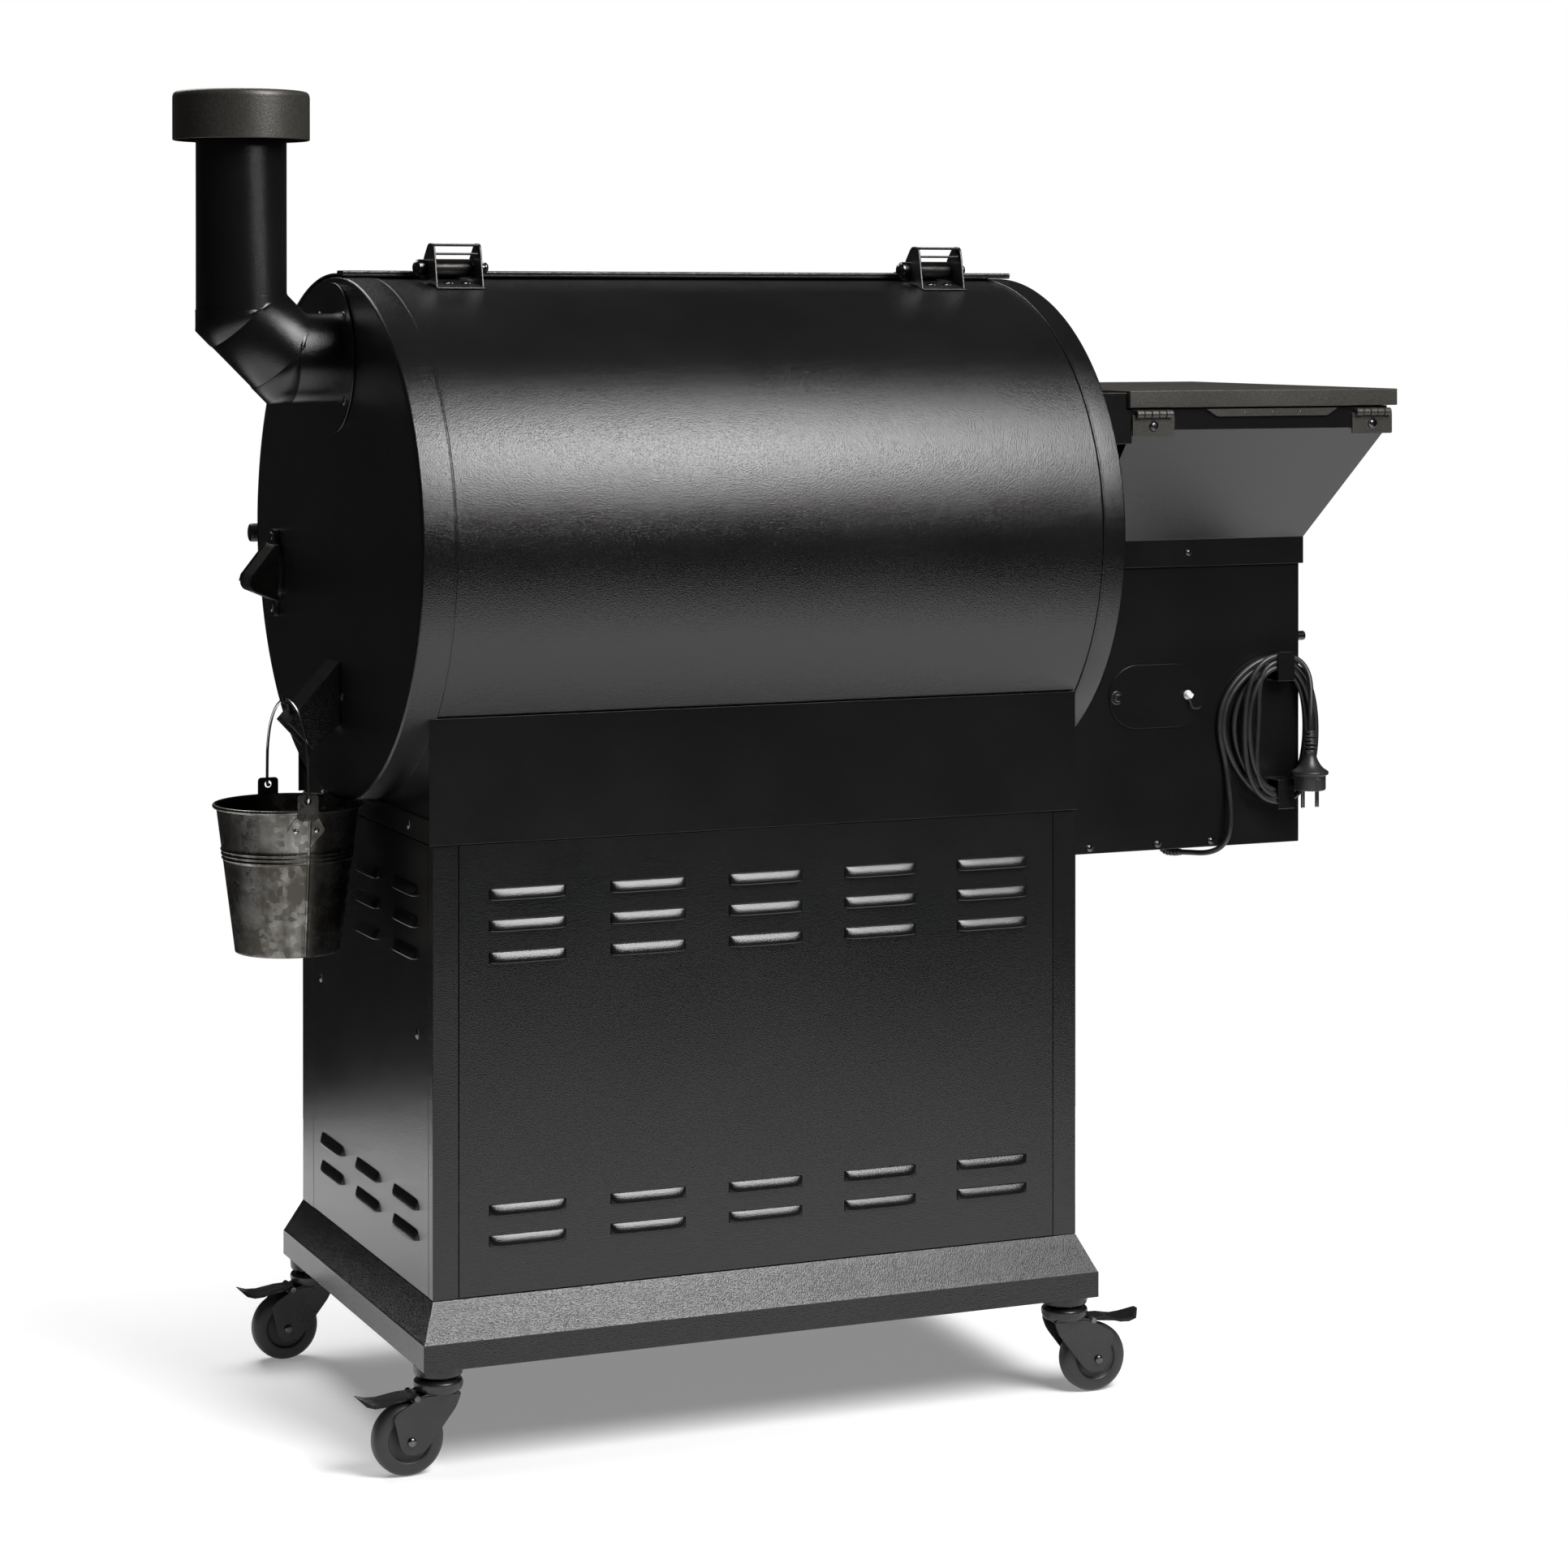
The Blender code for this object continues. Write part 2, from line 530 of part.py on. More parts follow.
def chimney():
    """Flange, mitred elbow and stack as one pipe, with a guide bar for the draught cap's stem."""
    bend = 0.050
    path = [(CAP_RIGHT + GAP, DRUM_Y, CHIMNEY_Z), (CHIMNEY_X - bend, DRUM_Y, CHIMNEY_Z)]
    path += [(CHIMNEY_X, DRUM_Y, CHIMNEY_Z + bend), (CHIMNEY_X, DRUM_Y, 1.4120)]
    pipe = piece("chimney_pipe", swept(path, CHIMNEY_R, 20, CHIMNEY_R - 0.0015), BLACK_COAT)
    flange = [(CHIMNEY_R - 0.0010, 0.0), (0.0825, 0.0), (0.0825, 0.0020), (CHIMNEY_R - 0.0010, 0.0020)]
    join(pipe, turned("x", (CAP_RIGHT + GAP, DRUM_Y, CHIMNEY_Z), flange, 24, ring=True))
    join(pipe, box(CHIMNEY_X - 0.0482, CHIMNEY_X + 0.0482, DRUM_Y - 0.008, DRUM_Y + 0.008, 1.3850, 1.3870))
    cut(pipe, rod("z", (CHIMNEY_X, DRUM_Y, 1.38), 0.0034, 0.02, 12))
    profile = [(0.0725, 1.3945), (0.0740, 1.3945), (0.0740, 1.4420), (0.0725, 1.4462), (0.0690, 1.4475)]
    cap = piece("chimney_cap", turned("z", (CHIMNEY_X, DRUM_Y, 0.0), profile, 28), BRONZE_COAT,
                (CHIMNEY_X, DRUM_Y, 1.4475))
    cut(cap, rod("z", (CHIMNEY_X, DRUM_Y, 1.38), 0.0724, 0.0660, 28))
    join(cap, rod("z", (CHIMNEY_X, DRUM_Y, 1.3600), 0.0030, 0.0870, 12))


# Grease path, bucket and opener.


def grease_chute():
    """A folded square duct that slopes down from the end cap, with a hook for the bail."""
    wall = CAP_RIGHT + GAP
    outer = [(wall, 0.8270), (0.4660, 0.7620), (0.4380, 0.7320), (wall, 0.7580)]
    chute = piece("grease_chute", prism(outer, "y", SPOUT_LOW_Y, SPOUT_HIGH_Y), BLACK_COAT)
    duct = [(wall - 0.01, 0.8345), (wall, 0.8240), (0.4800, 0.7435), (0.4520, 0.7135), (wall, 0.7610),
            (wall - 0.01, 0.7610)]
    cut(chute, prism(duct, "y", SPOUT_LOW_Y + SHEET, SPOUT_HIGH_Y - SHEET))
    hook = [(HOOK_X - 0.0070, 0.7660), (HOOK_X - 0.0030, 0.7640), (HOOK_X + 0.0010, 0.7800),
            (HOOK_X + 0.0060, 0.7815), (HOOK_X + 0.0080, 0.7900), (HOOK_X + 0.0045, 0.7900),
            (HOOK_X + 0.0030, 0.7826), (HOOK_X - 0.0030, 0.7820)]
    join(chute, prism(hook, "y", DRUM_Y - 0.004, DRUM_Y + 0.004))


def grease_bucket():
    """A tapered pail with a rolled rim, a ribbed band, a foot and two ears."""
    centre = (HOOK_X, DRUM_Y, 0.0)
    low = BUCKET_BASE_Z
    high = BUCKET_RIM_Z
    base_r = 0.0570
    rim_r = 0.0780

    def wall(z):
        return base_r + (rim_r - base_r) * (z - low) / (high - low)

    outer = [(wall(low), low)]
    outer += [(wall(0.614), 0.614), (wall(0.616) + 0.0012, 0.616), (wall(0.626) + 0.0012, 0.626),
              (wall(0.628), 0.628)]
    outer += [(wall(high - 0.005), high - 0.005), (rim_r + 0.0030, high - 0.0050),
              (rim_r + 0.0036, high - 0.0015),
              (rim_r + 0.0010, high + 0.0005)]
    inner = [(rim_r - 0.0012, high), (wall(low + 0.004) - 0.0012, low + 0.0040)]
    foot = [(wall(low) - 0.0014, low + 0.0028), (wall(low) - 0.0012, low)]
    bucket = piece("grease_bucket", turned("z", centre, outer + inner + foot, 24, ring=True), ZINC,
                   (HOOK_X, DRUM_Y, EAR_Z))
    join(bucket, rod("z", (HOOK_X, DRUM_Y, low + 0.0026), wall(low) - 0.0002, 0.0016, 24))
    for end in (-1, 1):
        ear = [(HOOK_X - 0.011, 0.652), (HOOK_X + 0.011, 0.652), (HOOK_X + 0.011, 0.668),
               (HOOK_X + 0.006, 0.690), (HOOK_X - 0.006, 0.690), (HOOK_X - 0.011, 0.668)]
        y0, y1 = sorted((DRUM_Y + end * 0.0750, DRUM_Y + end * 0.0790))
        join(bucket, prism(ear, "y", y0, y1))
        cut(bucket, rod("y", (HOOK_X, DRUM_Y + min(end * 0.07, end * 0.09), EAR_Z), 0.0028, 0.02, 12))


def bucket_bail():
    """A wire loop from ear to ear that hangs on the chute's hook."""
    reach = 0.0845
    crown = HOOK_Z + 0.0003
    points = [(HOOK_X, DRUM_Y - 0.0735, EAR_Z), (HOOK_X, DRUM_Y - reach, EAR_Z)]
    for i in range(13):
        turn = math.radians(180 - 15 * i)
        rise = 0.700 + (crown - 0.700) * math.sin(turn) ** 0.8 if 0 < i < 12 else 0.700
        points.append((HOOK_X, DRUM_Y + reach * math.cos(turn), rise))
    points += [(HOOK_X, DRUM_Y + reach, EAR_Z), (HOOK_X, DRUM_Y + 0.0735, EAR_Z)]
    piece("bucket_bail", swept(points, 0.0016, 8), STEEL, (HOOK_X, DRUM_Y, HOOK_Z))


def bottle_opener():
    """A cast opener on the end cap: a plate with an ear above and below, and a hooded beak."""
    middle = DRUM_Y - 0.240
    wall = CAP_RIGHT + GAP
    plate = [(-0.014, 0.860), (0.014, 0.860), (0.016, 0.876), (0.034, 0.886), (0.036, 0.926),
             (0.016, 0.940)]
    plate += [(0.014, 0.956), (-0.014, 0.956), (-0.016, 0.940), (-0.036, 0.926), (-0.034, 0.886),
              (-0.016, 0.876)]
    opener = piece("bottle_opener", prism([(middle + a, z) for a, z in plate], "x", wall, wall + 0.004),
                   GUNMETAL)
    beak = [(wall + 0.002, 0.938), (wall + 0.030, 0.908), (wall + 0.036, 0.896), (wall + 0.030, 0.888),
            (wall + 0.002, 0.878)]
    join(opener, prism(beak, "y", middle - 0.024, middle + 0.024))
    pocket = [(wall + 0.0045, 0.922), (wall + 0.024, 0.903), (wall + 0.026, 0.880), (wall + 0.0045, 0.870)]
    cut(opener, prism(pocket, "y", middle - 0.019, middle + 0.019))


# Fire side.


def slotted_plate(x0, x1, y0, y1, z0, z1, bars, border):
    """A grate: a flat frame whose slots leave bars that run along Y."""
    pitch = (x1 - x0 - 2 * border + 0.006) / (bars + 1)
    xs = [x0]
    for i in range(bars + 1):
        xs += [x0 + border + i * pitch, x0 + border + (i + 1) * pitch - 0.006]
    xs.append(x1)
    middle = (y0 + y1) / 2
    ys = [y0, y0 + border, middle - 0.004, middle + 0.004, y1 - border, y1]

    def solid(i, j):
        inside = 0 <= i < len(xs) - 1 and 0 <= j < len(ys) - 1
        return inside and (i % 2 == 0 or j % 2 == 0)

    shape = bmesh.new()
    grid = {}

    def corner(i, j, z):
        if (i, j, z) not in grid:
            grid[(i, j, z)] = shape.verts.new((xs[i], ys[j], z))
        return grid[(i, j, z)]

    for i in range(len(xs) - 1):
        for j in range(len(ys) - 1):
            if not solid(i, j):
                continue
            around = [(i, j), (i + 1, j), (i + 1, j + 1), (i, j + 1)]
            shape.faces.new([corner(a, b, z1) for a, b in around])
            shape.faces.new([corner(a, b, z0) for a, b in around[::-1]])
            for near, far, beside in ((0, 1, (i, j - 1)), (1, 2, (i + 1, j)), (2, 3, (i, j + 1)),
                                      (3, 0, (i - 1, j))):
                if not solid(*beside):
                    a = around[near]
                    b = around[far]
                    shape.faces.new((corner(*a, z0), corner(*b, z0), corner(*b, z1), corner(*a, z1)))
    return shape


def fire_side():
    """Fire pot, heat baffle, grease tray, grates and rack."""
    pot = [(0.0080, 0.6840), (0.0480, 0.6840), (0.0500, 0.7720), (0.0480, 0.7720), (0.0460, 0.6862),
           (0.0080, 0.6862)]
    centre = (FIRE_POT_X, DRUM_Y, 0.0)
    fire_pot = piece("fire_pot", turned("z", centre, pot, 12, ring=True), STEEL)
    join(fire_pot, rod("z", (FIRE_POT_X, DRUM_Y, 0.6840), 0.0100, 0.0022, 12))
    cut(fire_pot, rod("x", (-0.11, DRUM_Y, AUGER_Z), 0.0230, 0.05, 12))
    baffle = [(-0.13, 0.786), (-0.02, 0.800), (0.03, 0.800), (0.14, 0.786), (0.14, 0.788), (0.03, 0.802),
              (-0.02, 0.802), (-0.13, 0.788)]
    shifted = [(FIRE_POT_X + a, z) for a, z in baffle]
    piece("heat_baffle", prism(shifted, "y", DRUM_Y - 0.12, DRUM_Y + 0.12), STEEL)
    tray = [(-0.362, 0.8440), (0.370, 0.8140), (0.370, 0.8160), (-0.362, 0.8460)]
    grease_tray = piece("grease_tray", prism(tray, "y", DRUM_Y - 0.245, DRUM_Y + 0.245), STEEL)
    for end in (-1, 1):
        y0, y1 = sorted((DRUM_Y + end * 0.245, DRUM_Y + end * 0.247))
        side = [(-0.362, 0.8440), (0.370, 0.8140), (0.370, 0.8280), (-0.362, 0.8580)]
        join(grease_tray, prism(side, "y", y0 - 0.0005, y1 + 0.0005))
    tongue = [(0.365, 0.8142), (0.390, 0.8000), (0.404, 0.7850), (0.404, 0.7870), (0.390, 0.8020),
              (0.365, 0.8162)]
    join(grease_tray, prism(tongue, "y", -0.024, 0.014))
    low = DRUM_Y - 0.300
    high = DRUM_Y + 0.300
    piece("left_cooking_grate", slotted_plate(-0.366, 0.002, low, high, 0.8860, 0.8920, 8, 0.012), ENAMEL)
    piece("right_cooking_grate", slotted_plate(0.004, 0.372, low, high, 0.8860, 0.8920, 8, 0.012), ENAMEL)
    rack_left = CAP_LEFT + SHELF_REACH - RACK_HOLD
    rack_right = CAP_RIGHT - SHELF_REACH + RACK_HOLD
    rack = slotted_plate(rack_left, rack_right, RACK_FRONT, RACK_REAR, RACK_Z, RACK_Z + 0.005, 8, 0.010)
    piece("upper_rack", rack, STEEL)


def auger():
    """Feed tube, screw that turns in it, its motor, and the fan that feeds the fire."""
    centre = (AUGER_LEFT, DRUM_Y, AUGER_Z)
    length = AUGER_RIGHT - AUGER_LEFT
    walls = [(0.0225, 0.0), (0.0240, 0.0), (0.0240, length), (0.0225, length)]
    tube = piece("auger_tube", turned("x", centre, walls, 16, ring=True), STEEL)
    cut(tube, box(-0.615, -0.505, DRUM_Y - 0.016, DRUM_Y + 0.016, 0.746, 0.80))
    pitch = 0.050
    sections = 6
    reach = 0.0200
    turns = int((length - 0.012) / pitch * sections)
    rings = []
    for i in range(turns + 1):
        turn = 2 * math.pi * i / sections
        blade = [(reach, -0.16), (reach, 0.16), (0.0060, 1.2), (0.0060, 3.14), (0.0060, -1.2)]
        x = AUGER_LEFT + 0.004 + i * pitch / sections
        rings.append([(x, DRUM_Y + r * math.cos(turn + a), AUGER_Z + r * math.sin(turn + a)) for r,
                      a in blade])
    screw = piece("auger_screw", skin(rings), STEEL, centre)
    join(screw, rod("x", (AUGER_LEFT - 0.006, DRUM_Y, AUGER_Z), 0.0055, 0.014, 10))
    motor = piece("auger_motor", box(-0.7050, -0.6668, DRUM_Y - 0.032, DRUM_Y + 0.032, 0.700, 0.775), STEEL)
    join(motor, rod("x", (-0.7290, DRUM_Y, AUGER_Z - 0.012), 0.0200, 0.0250, 20))
    housing = [(0.0080, 0.0), (0.0480, 0.0), (0.0480, 0.0400), (0.0300, 0.0400), (0.0300, 0.0380),
               (0.0460, 0.0380),
               (0.0460, 0.0020), (0.0080, 0.0020)]
    fan = (-0.560, DRUM_Y, 0.640)
    piece("combustion_fan", turned("x", fan, housing, 20, ring=True), BLACK_COAT)
    wheel = [(0.0050, 0.0), (0.0420, 0.0), (0.0420, 0.0320), (0.0380, 0.0320), (0.0380, 0.0020),
             (0.0120, 0.0020),
             (0.0120, 0.0140), (0.0050, 0.0140)]
    hub = (-0.5570, DRUM_Y, 0.640)
    piece("fan_wheel", turned("x", hub, wheel, 16, ring=True), ZINC, hub)


# Hopper.


def hopper_bin():
    """One folded shell: upright band, taper, collar, and the funnel that ends over the auger's slot."""

    def ring(x0, x1, y0, y1, z, inset=0.0):
        return rectangle(x0 + inset, x1 - inset, y0 + inset, y1 - inset, z)

    band = (BIN_LEFT, BIN_RIGHT, BIN_FRONT, BIN_REAR)
    neck = (BASE_LEFT - 0.0045, BIN_RIGHT, BIN_FRONT - 0.0020, BASE_REAR + 0.0035)
    collar = (BASE_LEFT - 0.0045, BASE_RIGHT + 0.0025, BIN_FRONT - 0.0035, BASE_REAR + 0.0035)
    slot = (-0.612, -0.508, DRUM_Y - 0.0135, DRUM_Y + 0.0135)
    rings = [ring(*band, BIN_TOP), ring(*band, BIN_BAND), ring(*neck, BIN_TAPER),
             ring(*collar, BIN_TAPER - 0.0005)]
    rings += [ring(*collar, BIN_LOW), ring(*collar, BIN_LOW, SHEET),
              ring(*collar, BIN_TAPER - 0.0040, SHEET)]
    rings += [ring(*neck, BIN_TAPER - 0.0045, 0.0060), ring(*slot, 0.7600, -0.0015), ring(*slot, 0.7600)]
    rings += [ring(*neck, BIN_TAPER - 0.0010, 0.0080), ring(*band, BIN_BAND, 0.0025),
              ring(*band, BIN_TOP, 0.0025)]
    hopper = piece("hopper_bin", skin(rings, closed=True), BLACK_COAT)
    bridge = [(BIN_RIGHT - 0.0010, 1.0600), (CAP_LEFT - 0.0010, 1.0600), (CAP_LEFT - 0.0010, 1.1180),
              (-0.4417, 1.1180), (-0.4417, 1.0985), (BIN_RIGHT - 0.0010, 1.0985)]
    join(hopper, prism(bridge, "y", -0.2000, BIN_REAR - 0.001))
    for x in (-0.7600, -0.4740):
        join(hopper, box(x - 0.0230, x + 0.0230, BIN_REAR - 0.001, BIN_REAR + 0.0020, 1.0690, 1.0930))
        join(hopper, rod("x", (x - 0.0230, HOPPER_HINGE_Y - 0.004, HOPPER_HINGE_Z - 0.003), 0.0045,
                         0.0460, 12))
    stop = [(-0.7130, 1.0985), (-0.5420, 1.0985), (-0.5560, 1.0900), (-0.7000, 1.0900)]
    join(hopper, prism(stop, "y", BIN_REAR - 0.001, BIN_REAR + 0.0025))


def hopper_lid():
    """A shallow pan, folded down on all sides, with a pull at the front."""
    x0, x1, y0, y1 = -0.7920, -0.4425, -0.2360, 0.2500
    pivot = (0.0, HOPPER_HINGE_Y, HOPPER_HINGE_Z)
    lid = piece("hopper_lid", box(x0, x1, y0, y1, BIN_TOP + GAP, 1.1200), BRONZE_COAT, pivot)
    cut(lid, box(x0 + SHEET, x1 - SHEET, y0 + SHEET, y1 - SHEET, BIN_TOP - 0.01, 1.1180))
    join(lid, box(-0.6800, -0.5540, -0.2560, -0.2350, 1.1040, 1.1060))


def hopper_base():
    """The lower housing: folded box with bottom, cord tabs, side peg, and holes for auger and clean-out."""
    base = piece("hopper_base", box(BASE_LEFT, BASE_RIGHT, BIN_FRONT, BASE_REAR, BASE_LOW, 0.9300),
                 BLACK_COAT)
    cut(base, box(BASE_LEFT + SHEET, BASE_RIGHT - SHEET, BIN_FRONT + SHEET, BASE_REAR - SHEET,
                  BASE_LOW + SHEET, 0.95))
    cut(base, rod("x", (BASE_RIGHT - 0.01, DRUM_Y, AUGER_Z), 0.0246, 0.02, 24))
    cut(base, box(-0.5850, -0.5120, BASE_REAR - 0.01, BASE_REAR + 0.01, 0.7370, 0.7870))
    cut(base, rod("z", (-0.575, 0.085, BASE_LOW - 0.01), 0.0062, 0.02, 16))
    join(base, rod("x", (BASE_LEFT - 0.0170, 0.110, 0.8245), 0.0055, 0.0180, 12))
    for sign, edge in ((1, 0.7755), (-1, 0.6599)):
        low, high = sorted((edge, edge + sign * 0.0020))
        join(base, box(-0.7140, -0.6920, BASE_REAR - 0.001, 0.1510, low, high))
        low, high = sorted((edge, edge + sign * 0.0345))
        join(base, box(-0.7140, -0.6920, 0.1490, 0.1510, low, high))


def cleanout_cover():
    """An oblong plate that swings down about its pivot bolt."""
    left, right, middle, half = -0.6040, -0.4800, 0.7620, 0.0370
    outline = []
    for x, start in ((right - half, -90), (left + half, 90)):
        for i in range(11):
            turn = math.radians(start + 18 * i)
            outline.append((x + half * math.cos(turn), middle + half * math.sin(turn)))
    pivot = (-0.4900, BASE_REAR, middle)
    cover = piece("cleanout_cover", prism(outline, "y", BASE_REAR + GAP, BASE_REAR + 0.0016), BLACK_COAT,
                  pivot)
    join(cover, rod("y", (-0.4900, BASE_REAR + 0.0010, middle), 0.0060, 0.0045, 12))
    join(cover, rod("y", (-0.5830, BASE_REAR + 0.0010, middle), 0.0040, 0.0090, 12))


def controls():
    """The control box on the housing's front and its knob."""
    face = BIN_FRONT - GAP
    outline = [(face, 0.7800), (face, 0.8900), (face - 0.0120, 0.8880), (face - 0.0220, 0.7860),
               (face - 0.0200, 0.7800)]
    panel = piece("control_panel", prism(outline, "x", -0.7000, -0.4700), BLACK_COAT)
    cut(panel, box(-0.6750, -0.5850, face - 0.040, face - 0.0155, 0.8240, 0.8700))
    knob = [(0.0190, -0.0010), (0.0190, -0.0060), (0.0160, -0.0200), (0.0150, -0.0210)]
    centre = (-0.5200, face - 0.0208, 0.8340)
    piece("control_knob", turned("y", centre, knob, 24), GUNMETAL, centre)


# Power cord.


def smooth(points, spacing):
    """Evenly spaced points on a Catmull-Rom curve through the given ones."""
    route = [Vector(p) for p in points]
    route = [route[0] * 2 - route[1]] + route + [route[-1] * 2 - route[-2]]
    fine = []
    for a, b, c, d in zip(route, route[1:], route[2:], route[3:]):
        for i in range(20):
            t = i / 20
            fine.append(0.5 * (2 * b + (c - a) * t + (2 * a - 5 * b + 4 * c - d) * t * t
                               + (3 * b - a - 3 * c + d) * t ** 3))
    fine.append(route[-2])
    run = [0.0]
    for a, b in zip(fine, fine[1:]):
        run.append(run[-1] + (b - a).length)
    count = round(run[-1] / spacing)
    even = []
    for i in range(count + 1):
        want = run[-1] * i / count
        k = max(j for j in range(len(run)) if run[j] <= want + 1e-9)
        k = min(k, len(fine) - 2)
        even.append(fine[k].lerp(fine[k + 1], (want - run[k]) / (run[k + 1] - run[k])))
    return even


def power_cord():
    """Gland under the housing, free cord up to the winding, the winding, and the two-pin plug."""
    nut = [(0.0040, -0.0040), (0.0078, -0.0040), (0.0085, -0.0032), (0.0085, -GAP)]
    gland = piece("cord_gland", turned("z", (-0.575, 0.085, BASE_LOW), nut, 16), PLASTIC)
    boot = [(-0.5750, 0.0850, 0.5810), (-0.5752, 0.0852, 0.5780), (-0.5785, 0.0877, 0.5749),
            (-0.5840, 0.0919, 0.5740), (-0.5910, 0.0970, 0.5740)]
    join(gland, swept(smooth(boot, 0.0025), 0.0055, 10))

    route = [(-0.5914, 0.0973, 0.5740), (-0.6060, 0.1082, 0.5740), (-0.6180, 0.1180, 0.5745),
             (-0.6295, 0.1272, 0.5778), (-0.6385, 0.1340, 0.5865), (-0.6425, 0.1364, 0.6000),
             (-0.6438, 0.1364, 0.6160), (-0.6448, 0.1345, 0.6320), (-0.6457, 0.1325, 0.6452)]
    curve = bpy.data.curves.new("power_cord", "CURVE")
    curve.dimensions = "3D"
    curve.bevel_depth = CORD_R
    curve.bevel_resolution = 2
    curve.use_fill_caps = True
    curve.materials.append(finish("power_cord", PLASTIC))
    line = curve.splines.new("POLY")
    points = smooth(route, 2.4 * CORD_R)
    line.points.add(len(points) - 1)
    for target, point in zip(line.points, points):
        target.co = (*point, 1.0)
    cord = bpy.data.objects.new("power_cord", curve)
    bpy.context.scene.collection.objects.link(cord)
    cord.parent = grill

    def oblong(radius, straight):
        outline = []
        for z, start in ((COIL_Z + straight, 0), (COIL_Z - straight, 180)):
            for i in range(13):
                turn = math.radians(start + 15 * i)
                outline.append((COIL_X + radius * math.cos(turn), z + radius * math.sin(turn)))
        return outline

    coil = piece("cord_coil", prism(oblong(0.0560, 0.0355), "y", BASE_REAR + GAP, 0.1480), PLASTIC)
    cut(coil, prism(oblong(0.0300, 0.0355), "y", 0.10, 0.20))

    x, y = -0.7230, 0.1700
    body = [(0.0120, 0.6470), (0.0185, 0.6480), (0.0185, 0.6650), (0.0217, 0.6655), (0.0217, 0.6700),
            (0.0150, 0.6760), (0.0105, 0.6870), (0.0125, 0.6960), (0.0078, 0.6970), (0.0066, 0.7190)]
    plug = piece("power_plug", turned("z", (x, y, 0.0), body, 16), PLASTIC)
    pins = [rod("z", (x + d, y, 0.6280), 0.0024, 0.0200, 8) for d in (-0.0095, 0.0095)]
    join(plug, merged(pins))
    tail = [(x, y, 0.7180), (-0.7255, 0.1698, 0.7255), (-0.7290, 0.1690, 0.7330),
            (-0.7370, 0.1640, 0.7500), (-0.7392, 0.1595, 0.7620)]
    join(plug, swept(smooth(tail, 0.008), CORD_R, 8))


base_skirt()
corner_posts()
panels()
doors()
for side, side_name in ((-1, "left"), (1, "right")):
    for end, end_name in ((-1, "front"), (1, "rear")):
        caster(side, end, end_name + "_" + side_name)
cradle_frame()
drum_body()
end_caps()
drum_lid()
lid_handle()
lid_hinges()
thermometer()
chimney()
grease_chute()
grease_bucket()
bucket_bail()
bottle_opener()
fire_side()
auger()
hopper_bin()
hopper_lid()
hopper_base()
cleanout_cover()
controls()
power_cord()
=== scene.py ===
"""Pellet smoker grill: finished surfaces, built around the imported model.

The cart faces -Y, the chimney and the grease bucket are at +X, the hopper is at -X, and the floor is Z = 0.
Shapes are written in the cart's own frame, whose Z axis runs up the middle of the cabinet. SHIFT moves them
to the model's frame. All sizes are metres.
"""

import math

import bmesh
import bpy
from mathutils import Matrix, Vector


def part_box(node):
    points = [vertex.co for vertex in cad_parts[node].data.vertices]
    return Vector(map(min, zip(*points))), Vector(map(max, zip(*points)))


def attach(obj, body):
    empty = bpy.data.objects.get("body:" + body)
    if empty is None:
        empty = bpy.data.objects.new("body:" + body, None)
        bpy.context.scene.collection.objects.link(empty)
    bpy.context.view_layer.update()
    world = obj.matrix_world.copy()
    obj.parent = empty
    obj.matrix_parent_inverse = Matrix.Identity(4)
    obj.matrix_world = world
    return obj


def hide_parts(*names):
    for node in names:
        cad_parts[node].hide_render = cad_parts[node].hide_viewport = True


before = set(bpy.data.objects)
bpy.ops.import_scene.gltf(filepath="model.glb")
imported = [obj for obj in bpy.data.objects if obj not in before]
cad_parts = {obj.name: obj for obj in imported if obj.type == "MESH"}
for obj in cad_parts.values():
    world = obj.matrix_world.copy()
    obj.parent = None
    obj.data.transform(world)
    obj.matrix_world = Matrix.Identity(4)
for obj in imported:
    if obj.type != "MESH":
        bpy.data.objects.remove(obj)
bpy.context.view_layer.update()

skirt_low, skirt_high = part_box("base_skirt")
SHIFT = Vector(((skirt_low.x + skirt_high.x) / 2, (skirt_low.y + skirt_high.y) / 2, 0.0))


def span(node):
    """A CAD node's lowest and highest corners in the cart's own frame."""
    low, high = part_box(node)
    return low - SHIFT, high - SHIFT


# Places. Those that a node gives are read from the frame, and the others are the shapes' own sizes.
GAP = 0.0004
SHEET = 0.002
left_cap = span("left_end_cap")
right_cap = span("right_end_cap")
DRUM_Y = (left_cap[0].y + left_cap[1].y) / 2
DRUM_Z = (left_cap[0].z + left_cap[1].z) / 2
CAP_RY = (left_cap[1].y - left_cap[0].y) / 2
CAP_RZ = (left_cap[1].z - left_cap[0].z) / 2
CAP_LEFT = left_cap[0].x
CAP_RIGHT = right_cap[1].x
DRUM_LEFT = span("drum_body")[0].x
DRUM_RIGHT = right_cap[0].x
SHELL_INSET = 0.0015
OPENING_Z = 0.895
LEDGE_X = 0.36
LEDGE_TOP = 0.8855
WALL = CAP_RIGHT + GAP

cabinet = span("rear_panel")
CAB_Y = 0.248
CAB_X = span("right_side_panel")[1].x - 0.0056
CAB_LOW = cabinet[0].z - 0.001
CAB_TOP = cabinet[1].z + 0.001
LIP_X = span("base_skirt")[1].x
LIP_Y = span("base_skirt")[1].y
LIP_LOW = 0.112
LIP_TOP = 0.141
SIDE_BACK = span("right_side_panel")[1].y
SIDE_FRONT = span("right_side_panel")[0].y
POST_REAR = 0.028
DOOR_LOW = 0.183
DOOR_TOP = 0.649
CASTER_X = 0.366
CASTER_Y = 0.238
AXLE_Z = 0.038
LOUVRE_PITCH_X = 0.1354
LOUVRE_PITCH_Y = 0.1385
LOUVRE_MID_Y = 0.015
LOUVRE_LENGTH = 0.086
LOUVRE_ROWS = (0.599, 0.566, 0.5325, 0.268, 0.236)

